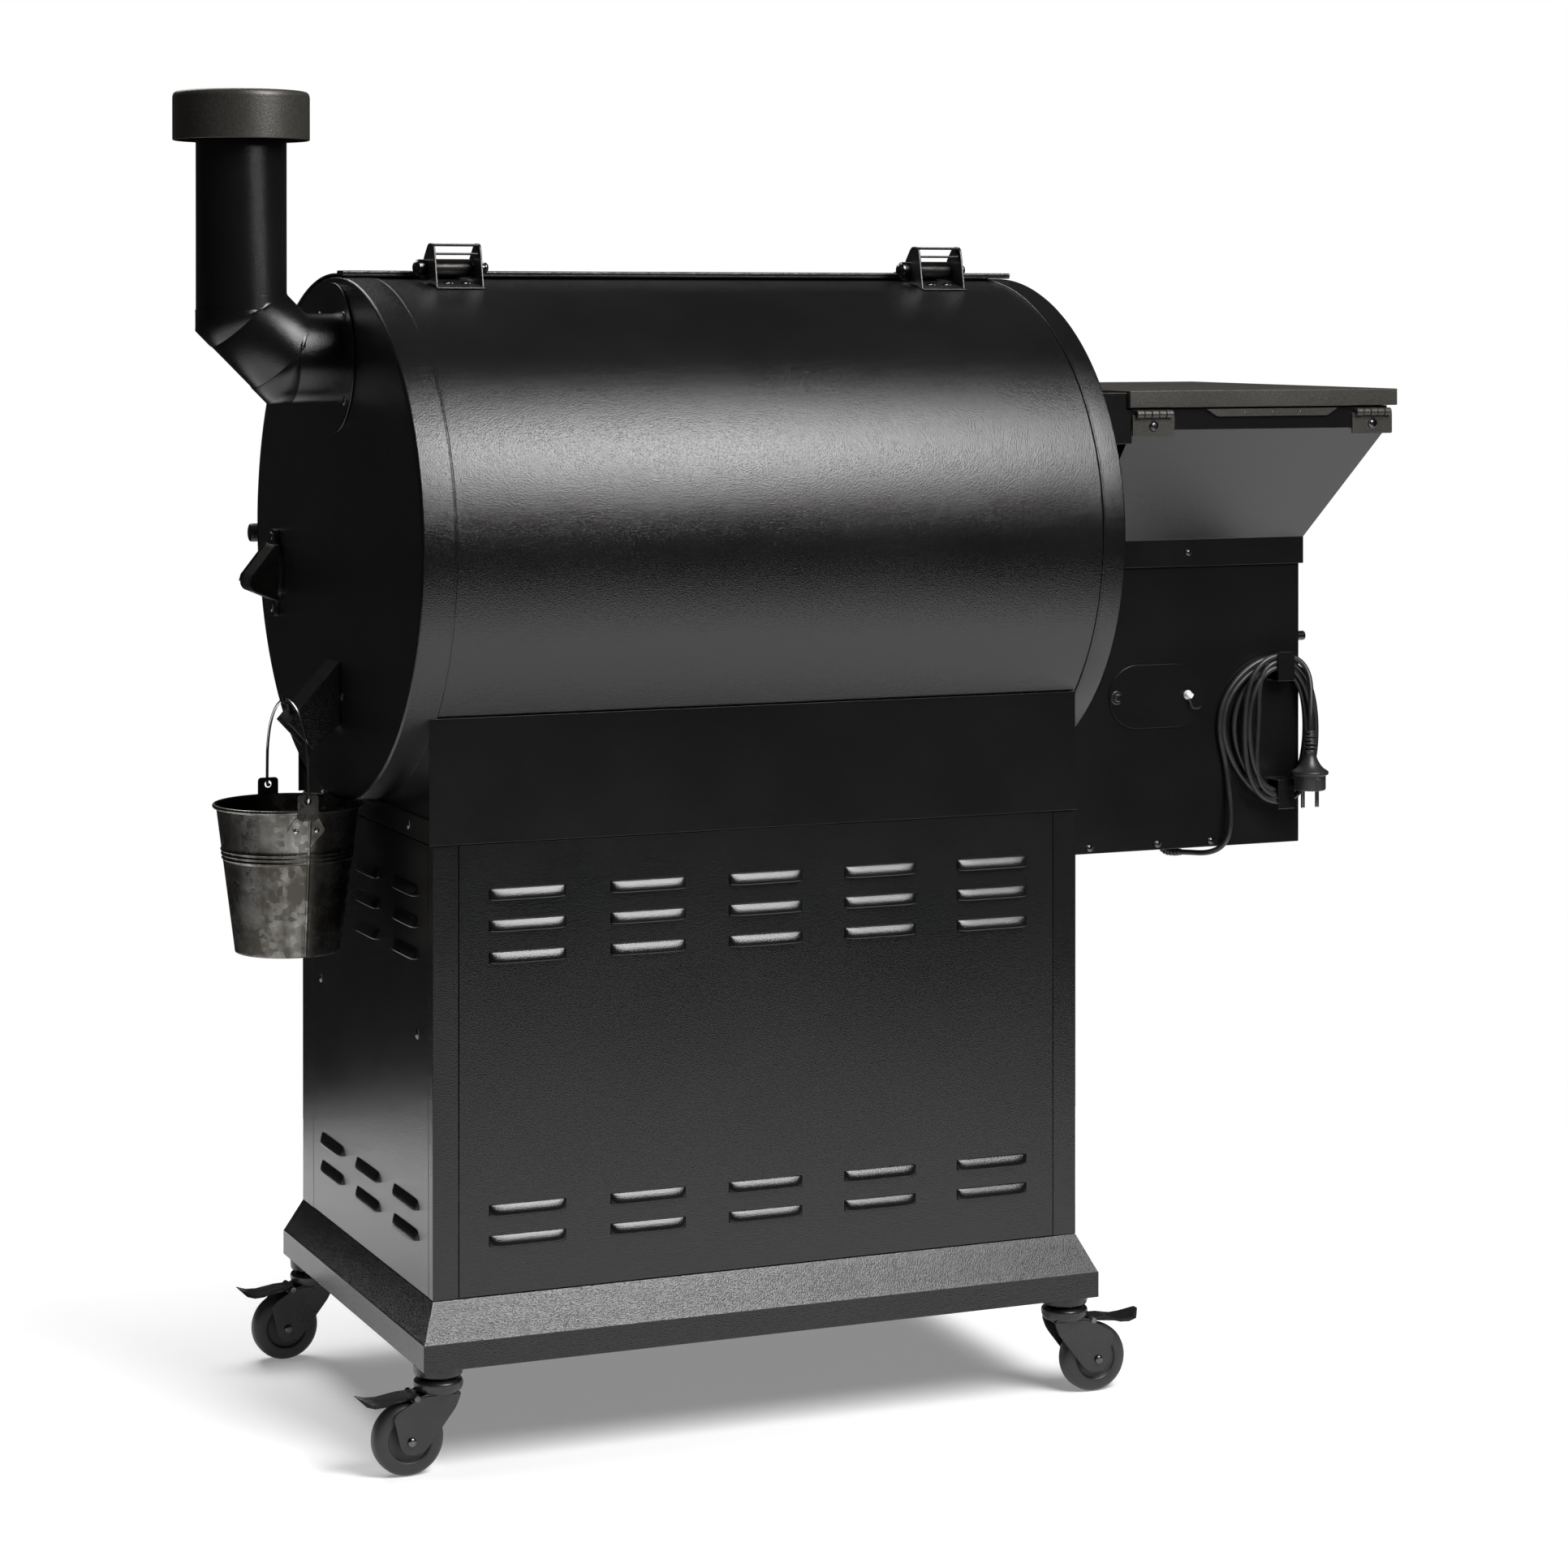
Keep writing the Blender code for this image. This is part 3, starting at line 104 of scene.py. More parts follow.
LID_HINGE_Y = 0.052
LID_HINGE_Z = 1.257
LID_HINGE_X = (-0.287, 0.293)
HANDLE_Y = -0.385
HANDLE_Z = 0.946
CHIMNEY_X = 0.512
CHIMNEY_Z = 1.158
CHIMNEY_R = 0.049
STACK_TOP = 1.412
HOOK_X = 0.4606
HOOK_Z = 0.7845
EAR_Z = 0.684
BUCKET_LOW = span("grease_bucket")[0].z
BUCKET_RIM = 0.674

BIN_TOP = 1.1005
BIN_BAND = 1.0755
BIN_TAPER = 0.9435
BIN_LOW = 0.912
BIN_FRONT = -0.225
BIN_REAR = 0.245
BIN_LEFT = -0.781
BIN_RIGHT = -0.447
BASE_LEFT = -0.733
BASE_RIGHT = -0.405
BASE_REAR = 0.127
BASE_LOW = 0.583
HOPPER_HINGE_Y = 0.2525
HOPPER_HINGE_Z = 1.0965
COIL_X = -0.698
COIL_Z = 0.7177
CORD_R = 0.0032
PLUG = (-0.723, 0.17)
LAP_POINTS = 40
WINDING_POINTS = 214


# Shapes. Each function returns a bmesh.


def skin(rings, closed=False):
    """Quads between rings of equally many points. The ends are capped unless the rings form a loop."""
    shape = bmesh.new()
    loops = [[shape.verts.new(point) for point in ring] for ring in rings]
    count = len(loops[0])
    pairs = list(zip(loops, loops[1:]))
    if closed:
        pairs.append((loops[-1], loops[0]))
    for low, high in pairs:
        for i in range(count):
            j = (i + 1) % count
            shape.faces.new((low[i], low[j], high[j], high[i]))
    if not closed:
        shape.faces.new(loops[0])
        shape.faces.new(loops[-1])
    bmesh.ops.recalc_face_normals(shape, faces=shape.faces)
    return shape


def spot(axis, a, b, along):
    """A point from its place along an axis and its other two coordinates, in X, Y, Z order."""
    return {"x": (along, a, b), "y": (a, along, b), "z": (a, b, along)}[axis]


def prism(outline, axis, low, high):
    return skin([[spot(axis, a, b, along) for a, b in outline] for along in (low, high)])


def box(x0, x1, y0, y1, z0, z1):
    return prism([(x0, y0), (x1, y0), (x1, y1), (x0, y1)], "z", z0, z1)


def rectangle(x0, x1, y0, y1, z):
    return [(x0, y0, z), (x1, y0, z), (x1, y1, z), (x0, y1, z)]


def circle(axis, centre, radius, steps):
    x, y, z = centre
    a, b, along = {"x": (y, z, x), "y": (x, z, y), "z": (x, y, z)}[axis]
    turns = [2 * math.pi * i / steps for i in range(steps)]
    return [spot(axis, a + radius * math.cos(t), b + radius * math.sin(t), along) for t in turns]


def moved(axis, centre, distance):
    place = list(centre)
    place["xyz".index(axis)] += distance
    return tuple(place)


def rod(axis, centre, radius, length, steps=32):
    return skin([circle(axis, moved(axis, centre, d), radius, steps) for d in (0, length)])


def turned(axis, centre, profile, steps=64, ring=False):
    """A profile of (radius, distance along the axis). A ring's profile closes on itself."""
    loops = [circle(axis, moved(axis, centre, d), radius, steps) for radius, d in profile]
    return skin(loops, closed=ring)


def oval(grow, steps=240, start=0.0, end=360.0):
    """Points (y, z) of the drum's oval, grown outwards, from one angle to another in degrees."""
    whole = abs(end - start) >= 360
    count = steps if whole else steps + 1
    turns = [math.radians(start + (end - start) * i / steps) for i in range(count)]
    wide = CAP_RY + grow
    tall = CAP_RZ + grow
    return [(DRUM_Y + wide * math.cos(t), DRUM_Z + tall * math.sin(t)) for t in turns]


def rounded(points, radius, steps=5):
    """An outline whose corners are rounded with short curves."""
    outline = []
    count = len(points)
    for i in range(count):
        before = Vector(points[i - 1])
        corner = Vector(points[i])
        after = Vector(points[(i + 1) % count])
        back = before - corner
        forth = after - corner
        reach = min(radius, 0.45 * back.length, 0.45 * forth.length)
        start = corner + back.normalized() * reach
        stop = corner + forth.normalized() * reach
        for k in range(steps + 1):
            t = k / steps
            outline.append(tuple(start * (1 - t) ** 2 + corner * 2 * t * (1 - t) + stop * t * t))
    return outline


def swept(points, radius, steps=24, inner=0.0):
    """A round bar, or a pipe if it has an inner radius, along points with mitred corners."""
    path = [Vector(p) for p in points]
    radii = [radius, inner] if inner else [radius]
    tubes = [[] for _ in radii]
    runs = [(b - a).normalized() for a, b in zip(path, path[1:])]
    side = runs[0].orthogonal().normalized()
    for i, point in enumerate(path):
        before = runs[max(i - 1, 0)]
        after = runs[min(i, len(runs) - 1)]
        plane = (before + after).normalized()
        side = (side - before * side.dot(before)).normalized()
        other = before.cross(side)
        for tube, r in zip(tubes, radii):
            ring = []
            for k in range(steps):
                t = 2 * math.pi * k / steps
                offset = (side * math.cos(t) + other * math.sin(t)) * r
                ring.append(point + offset - before * (offset.dot(plane) / before.dot(plane)))
            tube.append(ring)
    if not inner:
        return skin(tubes[0])
    return skin(tubes[0] + tubes[1][::-1], closed=True)


def smooth(points, spacing):
    """Evenly spaced points on a Catmull-Rom curve through the given ones."""
    route = [Vector(p) for p in points]
    route = [route[0] * 2 - route[1]] + route + [route[-1] * 2 - route[-2]]
    fine = []
    for a, b, c, d in zip(route, route[1:], route[2:], route[3:]):
        for i in range(20):
            t = i / 20
            fine.append(0.5 * (2 * b + (c - a) * t + (2 * a - 5 * b + 4 * c - d) * t * t
                               + (3 * b - a - 3 * c + d) * t ** 3))
    fine.append(route[-2])
    even = [fine[0]]
    walked = 0.0
    for a, b in zip(fine, fine[1:]):
        walked += (b - a).length
        if walked >= spacing:
            even.append(b)
            walked = 0.0
    if (even[-1] - fine[-1]).length < spacing / 2:
        even.pop()
    even.append(fine[-1])
    return even


def merged(shapes):
    """Separate shapes held in one bmesh."""
    whole = bmesh.new()
    for shape in shapes:
        mesh = bpy.data.meshes.new("merged")
        shape.to_mesh(mesh)
        shape.free()
        whole.from_mesh(mesh)
        bpy.data.meshes.remove(mesh)
    return whole


def swung(shape, axis, direction):
    """A shape turned about the origin, so that what lay along an axis lies along a direction."""
    turn = Vector(axis).rotation_difference(Vector(direction))
    bmesh.ops.rotate(shape, verts=shape.verts, cent=(0, 0, 0), matrix=turn.to_matrix())
    return shape


def aimed(shape, place, direction):
    """A shape made along +Z at the origin, turned to a direction and moved to a place."""
    swung(shape, (0, 0, 1), direction)
    bmesh.ops.translate(shape, verts=shape.verts, vec=Vector(place))
    return shape


# Materials. Patterns are in object coordinates, so their scales are per metre.


def surface(name, colour, roughness, metallic=0.0, coat=0.0):
    made = bpy.data.materials.new(name)
    made.use_nodes = True
    shader = made.node_tree.nodes["Principled BSDF"]
    shader.inputs["Base Color"].default_value = (*colour, 1.0)
    shader.inputs["Roughness"].default_value = roughness
    shader.inputs["Metallic"].default_value = metallic
    shader.inputs["Coat Weight"].default_value = coat
    shader.inputs["Coat Roughness"].default_value = 0.12
    place = made.node_tree.nodes.new("ShaderNodeTexCoord").outputs["Object"]
    return made, made.node_tree, shader, place


def grain(tree, place, scale, detail=2.0, stretch=None):
    node = tree.nodes.new("ShaderNodeTexNoise")
    node.inputs["Scale"].default_value = scale
    node.inputs["Detail"].default_value = detail
    if stretch:
        mapping = tree.nodes.new("ShaderNodeMapping")
        mapping.inputs["Scale"].default_value = stretch
        tree.links.new(place, mapping.inputs["Vector"])
        place = mapping.outputs["Vector"]
    tree.links.new(place, node.inputs["Vector"])
    return node.outputs["Fac"]


def cells(tree, place, scale, feature="SMOOTH_F1", output="Distance"):
    node = tree.nodes.new("ShaderNodeTexVoronoi")
    node.feature = feature
    node.inputs["Scale"].default_value = scale
    tree.links.new(place, node.inputs["Vector"])
    return node.outputs[output]


def spread(tree, value, low, high, to_low, to_high):
    """A value mapped from one range to another and held inside it."""
    node = tree.nodes.new("ShaderNodeMapRange")
    for socket, number in zip(("From Min", "From Max", "To Min", "To Max"), (low, high, to_low, to_high)):
        node.inputs[socket].default_value = number
    tree.links.new(value, node.inputs["Value"])
    return node.outputs["Result"]


def added(tree, first, second, weight):
    node = tree.nodes.new("ShaderNodeMath")
    node.operation = "MULTIPLY_ADD"
    tree.links.new(second, node.inputs[0])
    node.inputs[1].default_value = weight
    tree.links.new(first, node.inputs[2])
    return node.outputs["Value"]


def tinted(tree, shader, factor, first, second):
    """Base colour that runs from one colour to another with a factor."""
    node = tree.nodes.new("ShaderNodeMix")
    node.data_type = "RGBA"
    node.inputs[6].default_value = (*first, 1.0)
    node.inputs[7].default_value = (*second, 1.0)
    tree.links.new(factor, node.inputs[0])
    tree.links.new(node.outputs[2], shader.inputs["Base Color"])


def roughened(tree, shader, factor, low, high, to_low, to_high):
    """Roughness that follows a factor."""
    tree.links.new(spread(tree, factor, low, high, to_low, to_high), shader.inputs["Roughness"])


def bumped(tree, shader, height, distance):
    node = tree.nodes.new("ShaderNodeBump")
    node.inputs["Distance"].default_value = distance
    node.inputs["Strength"].default_value = 1.0
    tree.links.new(height, node.inputs["Height"])
    tree.links.new(node.outputs["Normal"], shader.inputs["Normal"])


def powder_coat(name, roughness, peel, depth, shade):
    """Black powder coat: pebbled peel over a fine grit, with slow changes in gloss and a little dust."""
    made, tree, shader, place = surface(name, (shade,) * 3, roughness)
    pebbles = cells(tree, place, peel, "F1")
    grit = grain(tree, place, peel * 1.2, 2.0)
    bumped(tree, shader, added(tree, pebbles, grit, 0.9), depth)
    cloud = grain(tree, place, 7.0, 4.0)
    fine = grain(tree, place, peel * 1.3, 1.0)
    gloss = added(tree, spread(tree, cloud, 0.3, 0.7, roughness - 0.035, roughness - 0.005), fine, 0.04)
    tree.links.new(gloss, shader.inputs["Roughness"])
    dust = spread(tree, added(tree, cloud, fine, 0.35), 0.55, 1.05, 0.0, 1.0)
    tinted(tree, shader, dust, (shade, shade, shade * 1.06), (shade * 1.7, shade * 1.7, shade * 1.65))
    return made


def bronze_coat():
    """Bronze-grey metallic coat with small flakes."""
    made, tree, shader, place = surface("bronze_coat", (0.085, 0.079, 0.07), 0.42, 0.55)
    flakes = cells(tree, place, 1500.0, "F1", "Color")
    luma = tree.nodes.new("ShaderNodeRGBToBW")
    tree.links.new(flakes, luma.inputs["Color"])
    tinted(tree, shader, spread(tree, luma.outputs["Val"], 0.35, 0.9, 0.0, 1.0), (0.046, 0.043, 0.039),
           (0.095, 0.089, 0.079))
    roughened(tree, shader, grain(tree, place, 9.0, 4.0), 0.3, 0.7, 0.36, 0.48)
    bumped(tree, shader, added(tree, cells(tree, place, 620.0), grain(tree, place, 1300.0), 0.5), 0.00012)
    return made


def gunmetal():
    """Cast and plated dark metal with a sandy skin and rubbed patches."""
    made, tree, shader, place = surface("gunmetal", (0.04, 0.038, 0.036), 0.34, 0.85)
    cloud = grain(tree, place, 40.0, 5.0)
    tinted(tree, shader, spread(tree, cloud, 0.35, 0.75, 0.0, 1.0), (0.03, 0.029, 0.028),
           (0.085, 0.08, 0.074))
    roughened(tree, shader, cloud, 0.3, 0.7, 0.42, 0.27)
    bumped(tree, shader, added(tree, grain(tree, place, 900.0, 4.0), grain(tree, place, 160.0), 0.6), 0.00022)
    return made


def galvanised():
    """Zinc spangle with drawn streaks, water marks and a dull brown film."""
    made, tree, shader, place = surface("galvanised", (0.5, 0.5, 0.5), 0.28, 1.0)
    spangle = tree.nodes.new("ShaderNodeRGBToBW")
    tree.links.new(cells(tree, place, 150.0, "F1", "Color"), spangle.inputs["Color"])
    streaks = grain(tree, place, 60.0, 5.0, (1.0, 1.0, 0.12))
    stains = grain(tree, place, 26.0, 6.0)
    mixed = added(tree, added(tree, stains, streaks, 0.6), spangle.outputs["Val"], 0.18)
    tinted(tree, shader, spread(tree, mixed, 0.62, 1.02, 0.0, 1.0), (0.3, 0.295, 0.285),
           (0.085, 0.078, 0.066))
    roughened(tree, shader, added(tree, streaks, spangle.outputs["Val"], 0.5), 0.3, 1.0, 0.16, 0.42)
    bumped(tree, shader, added(tree, spangle.outputs["Val"], grain(tree, place, 420.0, 3.0), 0.7), 0.0001)
    return made


def bare_steel(name, colour, roughness, soot):
    """Drawn steel with scratches, and soot where it meets the fire."""
    made, tree, shader, place = surface(name, colour, roughness, 1.0)
    scratches = grain(tree, place, 700.0, 3.0, (1.0, 1.0, 0.05))
    cloud = grain(tree, place, 30.0, 5.0)
    dark = tuple(c * (1 - soot) for c in colour)
    tinted(tree, shader, spread(tree, added(tree, cloud, scratches, 0.3), 0.45, 0.8, 0.0, 1.0), colour, dark)
    roughened(tree, shader, cloud, 0.3, 0.7, roughness - 0.08, roughness + 0.12)
    bumped(tree, shader, scratches, 0.00006)
    return made


def enamel():
    """Porcelain enamel over bar: glassy, with pinholes and flow."""
    made, tree, shader, place = surface("enamel", (0.015, 0.015, 0.016), 0.22, 0.0, 0.4)
    pits = spread(tree, cells(tree, place, 900.0, "F1"), 0.0, 0.22, 0.0, 1.0)
    bumped(tree, shader, added(tree, grain(tree, place, 120.0, 2.0), pits, 0.3), 0.0002)
    tinted(tree, shader, spread(tree, pits, 0.0, 1.0, 1.0, 0.0), (0.014, 0.014, 0.015), (0.05, 0.05, 0.055))
    return made


def moulded(name, colour, roughness, texture, depth):
    """A fine, even grain with cloudy handling marks: plastic, rubber, and the blackened steel of brackets."""
    made, tree, shader, place = surface(name, colour, roughness)
    fine = grain(tree, place, texture, 3.0)
    cloud = grain(tree, place, 35.0, 5.0)
    lighter = tuple(min(1.0, c * 1.5 + 0.004) for c in colour)
    tinted(tree, shader, spread(tree, cloud, 0.4, 0.8, 0.0, 1.0), colour, lighter)
    roughened(tree, shader, cloud, 0.3, 0.7, roughness - 0.06, roughness + 0.08)
    bumped(tree, shader, fine, depth)
    return made


BODY_COAT = powder_coat("body_coat", 0.2, 760.0, 0.0002, 0.0045)
CART_COAT = powder_coat("cart_coat", 0.22, 900.0, 0.00009, 0.0045)
PIPE_COAT = powder_coat("pipe_coat", 0.22, 820.0, 0.00011, 0.004)
BRONZE = bronze_coat()
GUNMETAL = gunmetal()
ZINC = galvanised()
WIRE = bare_steel("bright_wire", (0.62, 0.62, 0.62), 0.2, 0.25)
STEEL = bare_steel("sooty_steel", (0.3, 0.28, 0.26), 0.38, 0.75)
BEZEL = bare_steel("bezel_steel", (0.55, 0.55, 0.56), 0.22, 0.15)
ENAMEL = enamel()
PLASTIC = moulded("black_plastic", (0.014, 0.014, 0.015), 0.38, 1100.0, 0.00008)
TYRE = moulded("tyre_rubber", (0.017, 0.017, 0.018), 0.46, 800.0, 0.0001)
CORD_RUBBER = moulded("cord_rubber", (0.012, 0.012, 0.013), 0.36, 1500.0, 0.00005)
NYLON = moulded("white_nylon", (0.62, 0.62, 0.6), 0.4, 900.0, 0.00005)
DIAL = moulded("dial_face", (0.7, 0.69, 0.66), 0.45, 1200.0, 0.00002)
# The dial's marks, which are print. The same dark material also makes painted shade: strips in the opener's
# mouth and on the housing's side vents that stand in for their shaded openings.
MARKS_AND_SHADE = moulded("dial_marks_and_painted_shade", (0.02, 0.02, 0.02), 0.5, 1200.0, 0.00002)
NEEDLE = moulded("needle_red", (0.42, 0.03, 0.02), 0.4, 1200.0, 0.00002)
GLOSS = moulded("display_window", (0.006, 0.007, 0.009), 0.1, 300.0, 0.00001)
BLACK_ZINC = bare_steel("black_zinc", (0.15, 0.15, 0.155), 0.24, 0.3)
BLACK_STEEL = moulded("black_steel", (0.012, 0.012, 0.0125), 0.26, 520.0, 0.00016)


# Pieces.


SMOOTH_ANGLE = math.radians(40)
BEVEL_ANGLE = math.radians(32)


def linked(name, data):
    """A new object in the scene."""
    made = bpy.data.objects.new(name, data)
    bpy.context.scene.collection.objects.link(made)
    return made


def meshed(name, shape, looks=()):
    """A shape as a new object in the scene."""
    mesh = bpy.data.meshes.new(name)
    shape.to_mesh(mesh)
    shape.free()
    for look in looks:
        mesh.materials.append(look)
    return linked(name, mesh)


def soften(obj, width):
    """Rounds the sharp edges by a small bevel and keeps flat faces flat."""
    if width:
        bevel = obj.modifiers.new("Edges", "BEVEL")
        bevel.width = width
        bevel.segments = 2
        bevel.limit_method = "ANGLE"
        bevel.angle_limit = BEVEL_ANGLE
    normals = obj.modifiers.new("Flat", "WEIGHTED_NORMAL")
    normals.weight = 100


def piece(name, shape, look, body, replaces=(), bevel=0.0, cuts=()):
    """A finished piece on a CAD body. Cuts are shapes taken away from it."""
    made = meshed(name, shape, [look])
    made.data.shade_smooth()
    made.data.set_sharp_from_angle(angle=SMOOTH_ANGLE)
    if cuts:
        cut_away(made, merged(list(cuts)))
    soften(made, bevel)
    made.location = SHIFT
    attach(made, body)
    if replaces:
        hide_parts(*replaces)
    return made


def cut_away(obj, shape):
    """Takes a shape away from an object for good, so that no helper is left behind."""
    helper = meshed("helper", shape)
    modifier = obj.modifiers.new("Cut", "BOOLEAN")
    modifier.operation = "DIFFERENCE"
    modifier.solver = "EXACT"
    modifier.object = helper
    bpy.context.view_layer.update()
    graph = bpy.context.evaluated_depsgraph_get()
    cut_mesh = bpy.data.meshes.new_from_object(obj.evaluated_get(graph))
    obj.modifiers.clear()
    old = obj.data
    obj.data = cut_mesh
    bpy.data.meshes.remove(old)
    bpy.data.objects.remove(helper, do_unlink=True)
    obj.data.shade_smooth()
    obj.data.set_sharp_from_angle(angle=SMOOTH_ANGLE)


def carry(node, look, bevel=0.0):
    """A CAD node that keeps its shape gets its finish and, if it has any, its rounded edges."""
    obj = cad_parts[node]
    obj.data.materials.clear()
    obj.data.materials.append(look)
    if bevel:
        weld = obj.modifiers.new("Weld", "WELD")
        weld.merge_threshold = 0.00002
        flat = obj.modifiers.new("Facets", "DECIMATE")
        flat.decimate_type = "DISSOLVE"
        flat.angle_limit = math.radians(1)
        soften(obj, bevel)


# Fasteners. Their heights are given as shares of their radius.

HEAD_HEIGHT = 0.55


def pan_head(radius):
    """A pan head with a washer under it. The cross recess is cut by the piece that holds it."""
    high = radius * HEAD_HEIGHT
    profile = [(radius * 1.45, 0.0), (radius * 1.45, 0.0006), (radius, 0.0006), (radius * 0.98, high * 0.55),
               (radius * 0.8, high * 0.88), (radius * 0.45, high), (0.0002, high * 1.02)]
    return turned("z", (0, 0, 0), profile, 28)


def cross_recess(radius):
    """The two slots of a cross, which are cut one after the other."""
    arm = radius * 0.58
    half = radius * 0.13
    low = radius * HEAD_HEIGHT * 0.35
    high = radius * HEAD_HEIGHT * 1.5
    return [box(-arm, arm, -half, half, low, high), box(-half, half, -arm, arm, low, high)]


def hex_head(radius):
    """A flanged hexagon bolt head."""
    washer = turned("z", (0, 0, 0), [(radius * 1.5, 0.0), (radius * 1.5, 0.0008), (radius * 1.1, 0.0012)], 28)
    rings = ((radius, 0.0008), (radius, radius * 0.75), (radius * 0.82, radius * 0.88))
    return merged([washer, skin([circle("z", (0, 0, d), r, 6) for r, d in rings])])


def dome(radius):
    profile = [(radius * math.cos(t), radius * 0.6 * math.sin(t)) for t in (0, 0.35, 0.7, 1.05, 1.35, 1.54)]
    return turned("z", (0, 0, 0), [(radius, -0.0006)] + profile, 24)


def screws(name, places, direction, body, radius):
    """Cross-recess screws with one direction, held in one piece."""
    heads = merged([aimed(pan_head(radius), p, direction) for p in places])
    recesses = [aimed(part, p, direction) for p in places for part in cross_recess(radius)]
    made = piece(name, heads, BLACK_ZINC, body)
    cut_away(made, merged(recesses[0::2]))
    cut_away(made, merged(recesses[1::2]))


def bolts(name, places, direction, body, radius):
    """Hexagon bolts with one direction, held in one piece."""
    piece(name, merged([aimed(hex_head(radius), p, direction) for p in places]), BLACK_ZINC, body,
          bevel=0.0003)


# Camera, power cord.


def camera():
    """A long lens at lid height, almost level, with its frame shifted down to the grill."""
    data = bpy.data.cameras.new("camera")
    data.lens = 86.92
    data.sensor_width = 36.0
    data.shift_y = -0.2896
    view = linked("camera", data)
    view.location = (1.6731, 4.0501, 1.2077)
    view.rotation_euler = (math.radians(90 - 0.26), 0.0, math.radians(157.076))
    bpy.context.scene.camera = view


def winding():
    """A little over five loose turns round the two tabs, stacked inwards by the wall, then back out.

    Each turn has its own lane, of a radius and a distance from the wall, and fans out on one side.
    """
    lanes = [(0.052, 0.1312), (0.0455, 0.1312), (0.039, 0.1312), (0.039, 0.1444), (0.0455, 0.1444),
             (0.052, 0.1444)]
    fans = (0.024, 0.025, 0.017, 0.003, -0.016, -0.004)
    points = []
    for i in range(WINDING_POINTS):
        lap = min(i // LAP_POINTS, len(lanes) - 2)
        share = i / LAP_POINTS - lap
        radius = lanes[lap][0] * (1 - share) + lanes[lap + 1][0] * share
        out = lanes[lap][1] * (1 - share) + lanes[lap + 1][1] * share
        turn = math.radians(360 / LAP_POINTS * i - 20)
        across = math.cos(turn)
        up = math.sin(turn)
        fan = fans[(i + 8) // LAP_POINTS] * (1 + 0.5 * up) if across > 0 else 0.0
        points.append((COIL_X + (radius + fan * across ** 3) * across, out,
                       COIL_Z + radius * up + 0.0355 * up * (1.5 - 0.5 * up * up)))
    return points


def leading(start, before, stop):
    """Points on a curve that leaves the winding along its last run and comes down upright on the plug."""
    a = Vector(start)
    d = Vector(stop)
    b = a + (a - Vector(before)).normalized() * 0.048
    c = d + Vector((0, 0, 0.042))
    points = []
    for i in range(1, 11):
        t = i / 10
        u = 1 - t
        points.append(tuple(a * u ** 3 + b * 3 * t * u ** 2 + c * 3 * t * t * u + d * t ** 3))
    return points


def relaxed(points, times):
    """Points drawn towards their neighbours, as a stiff cord lies, but held at its two ends."""
    last = len(points) - 1
    for _ in range(times):
        eased = [points[0]]
        for i in range(1, last):
            middle = points[i] * 0.5 + (points[i - 1] + points[i + 1]) * 0.25
            hold = min(1.0, max(0.0, (min(i, last - i) - 4) / 6))
            eased.append(points[i].lerp(middle, hold))
        points = eased + [points[last]]
    return points


def power_cord():
    """The cord from its boot under the housing, up, round the tabs and down into the plug."""
    route = [(-0.5914, 0.0973, 0.574), (-0.605, 0.1075, 0.5738), (-0.615, 0.1172, 0.5734),
             (-0.6245, 0.128, 0.576), (-0.632, 0.1362, 0.5855), (-0.6352, 0.139, 0.6),
             (-0.6362, 0.1385, 0.616), (-0.6362, 0.1358, 0.632), (-0.6355, 0.133, 0.648),
             (-0.634, 0.1314, 0.665)]
    x, y = PLUG
    turns = winding()
    tail = leading(turns[-1], turns[-2], (x, y, 0.72)) + [(x, y, 0.714), (x, y, 0.708)]
    points = relaxed(smooth(route + turns + tail, 0.0035), 34)
    curve = bpy.data.curves.new("power_cord_lead", "CURVE")
    curve.dimensions = "3D"
    curve.bevel_depth = CORD_R
    curve.bevel_resolution = 4
    curve.use_fill_caps = True
    curve.materials.append(CORD_RUBBER)
    line = curve.splines.new("POLY")
    line.points.add(len(points) - 1)
    for target, point in zip(line.points, points):
        target.co = (*point, 1.0)
    lead = linked("power_cord_lead", curve)
    lead.location = SHIFT
    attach(lead, "cart")
    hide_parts("power_cord", "cord_coil")
    gland = power_gland()
    plug = power_plug()


def sleeve(points, radii):
    """A round bar along points, whose radius changes from one point to the next."""
    path = [Vector(p) for p in points]
    side = (path[1] - path[0]).orthogonal().normalized()
    rings = []
    for i, point in enumerate(path):
        along = (path[min(i + 1, len(path) - 1)] - path[max(i - 1, 0)]).normalized()
        side = (side - along * side.dot(along)).normalized()
        other = along.cross(side)
        turns = [2 * math.pi * k / 32 for k in range(32)]
        rings.append([point + (side * math.cos(t) + other * math.sin(t)) * radii[i] for t in turns])
    return skin(rings)


def power_gland():
    """A nut under the housing's floor and a tapered, ribbed boot that turns the cord to the side."""
    nut = [(0.004, -0.004), (0.0074, -0.004), (0.008, -0.0034), (0.0085, -0.0028), (0.0085, -0.0008),
           (0.0082, -GAP), (0.004, -GAP)]
    route = [(-0.575, 0.085, 0.581), (-0.5752, 0.0852, 0.578), (-0.5785, 0.0877, 0.5749),
             (-0.584, 0.0919, 0.574), (-0.592, 0.0977, 0.574)]
    path = smooth(route, 0.0005)
    radii = []
    for i in range(len(path)):
        share = i / (len(path) - 1)
        rib = 0.0005 if share < 0.85 and i % 5 < 3 else 0.0
        radii.append(0.005 - 0.0012 * share + rib)
    shapes = [turned("z", (-0.575, 0.085, BASE_LOW), nut, 32, ring=True), sleeve(path, radii)]
    return piece("power_gland", merged(shapes), PLASTIC, "cart", ["cord_gland"])


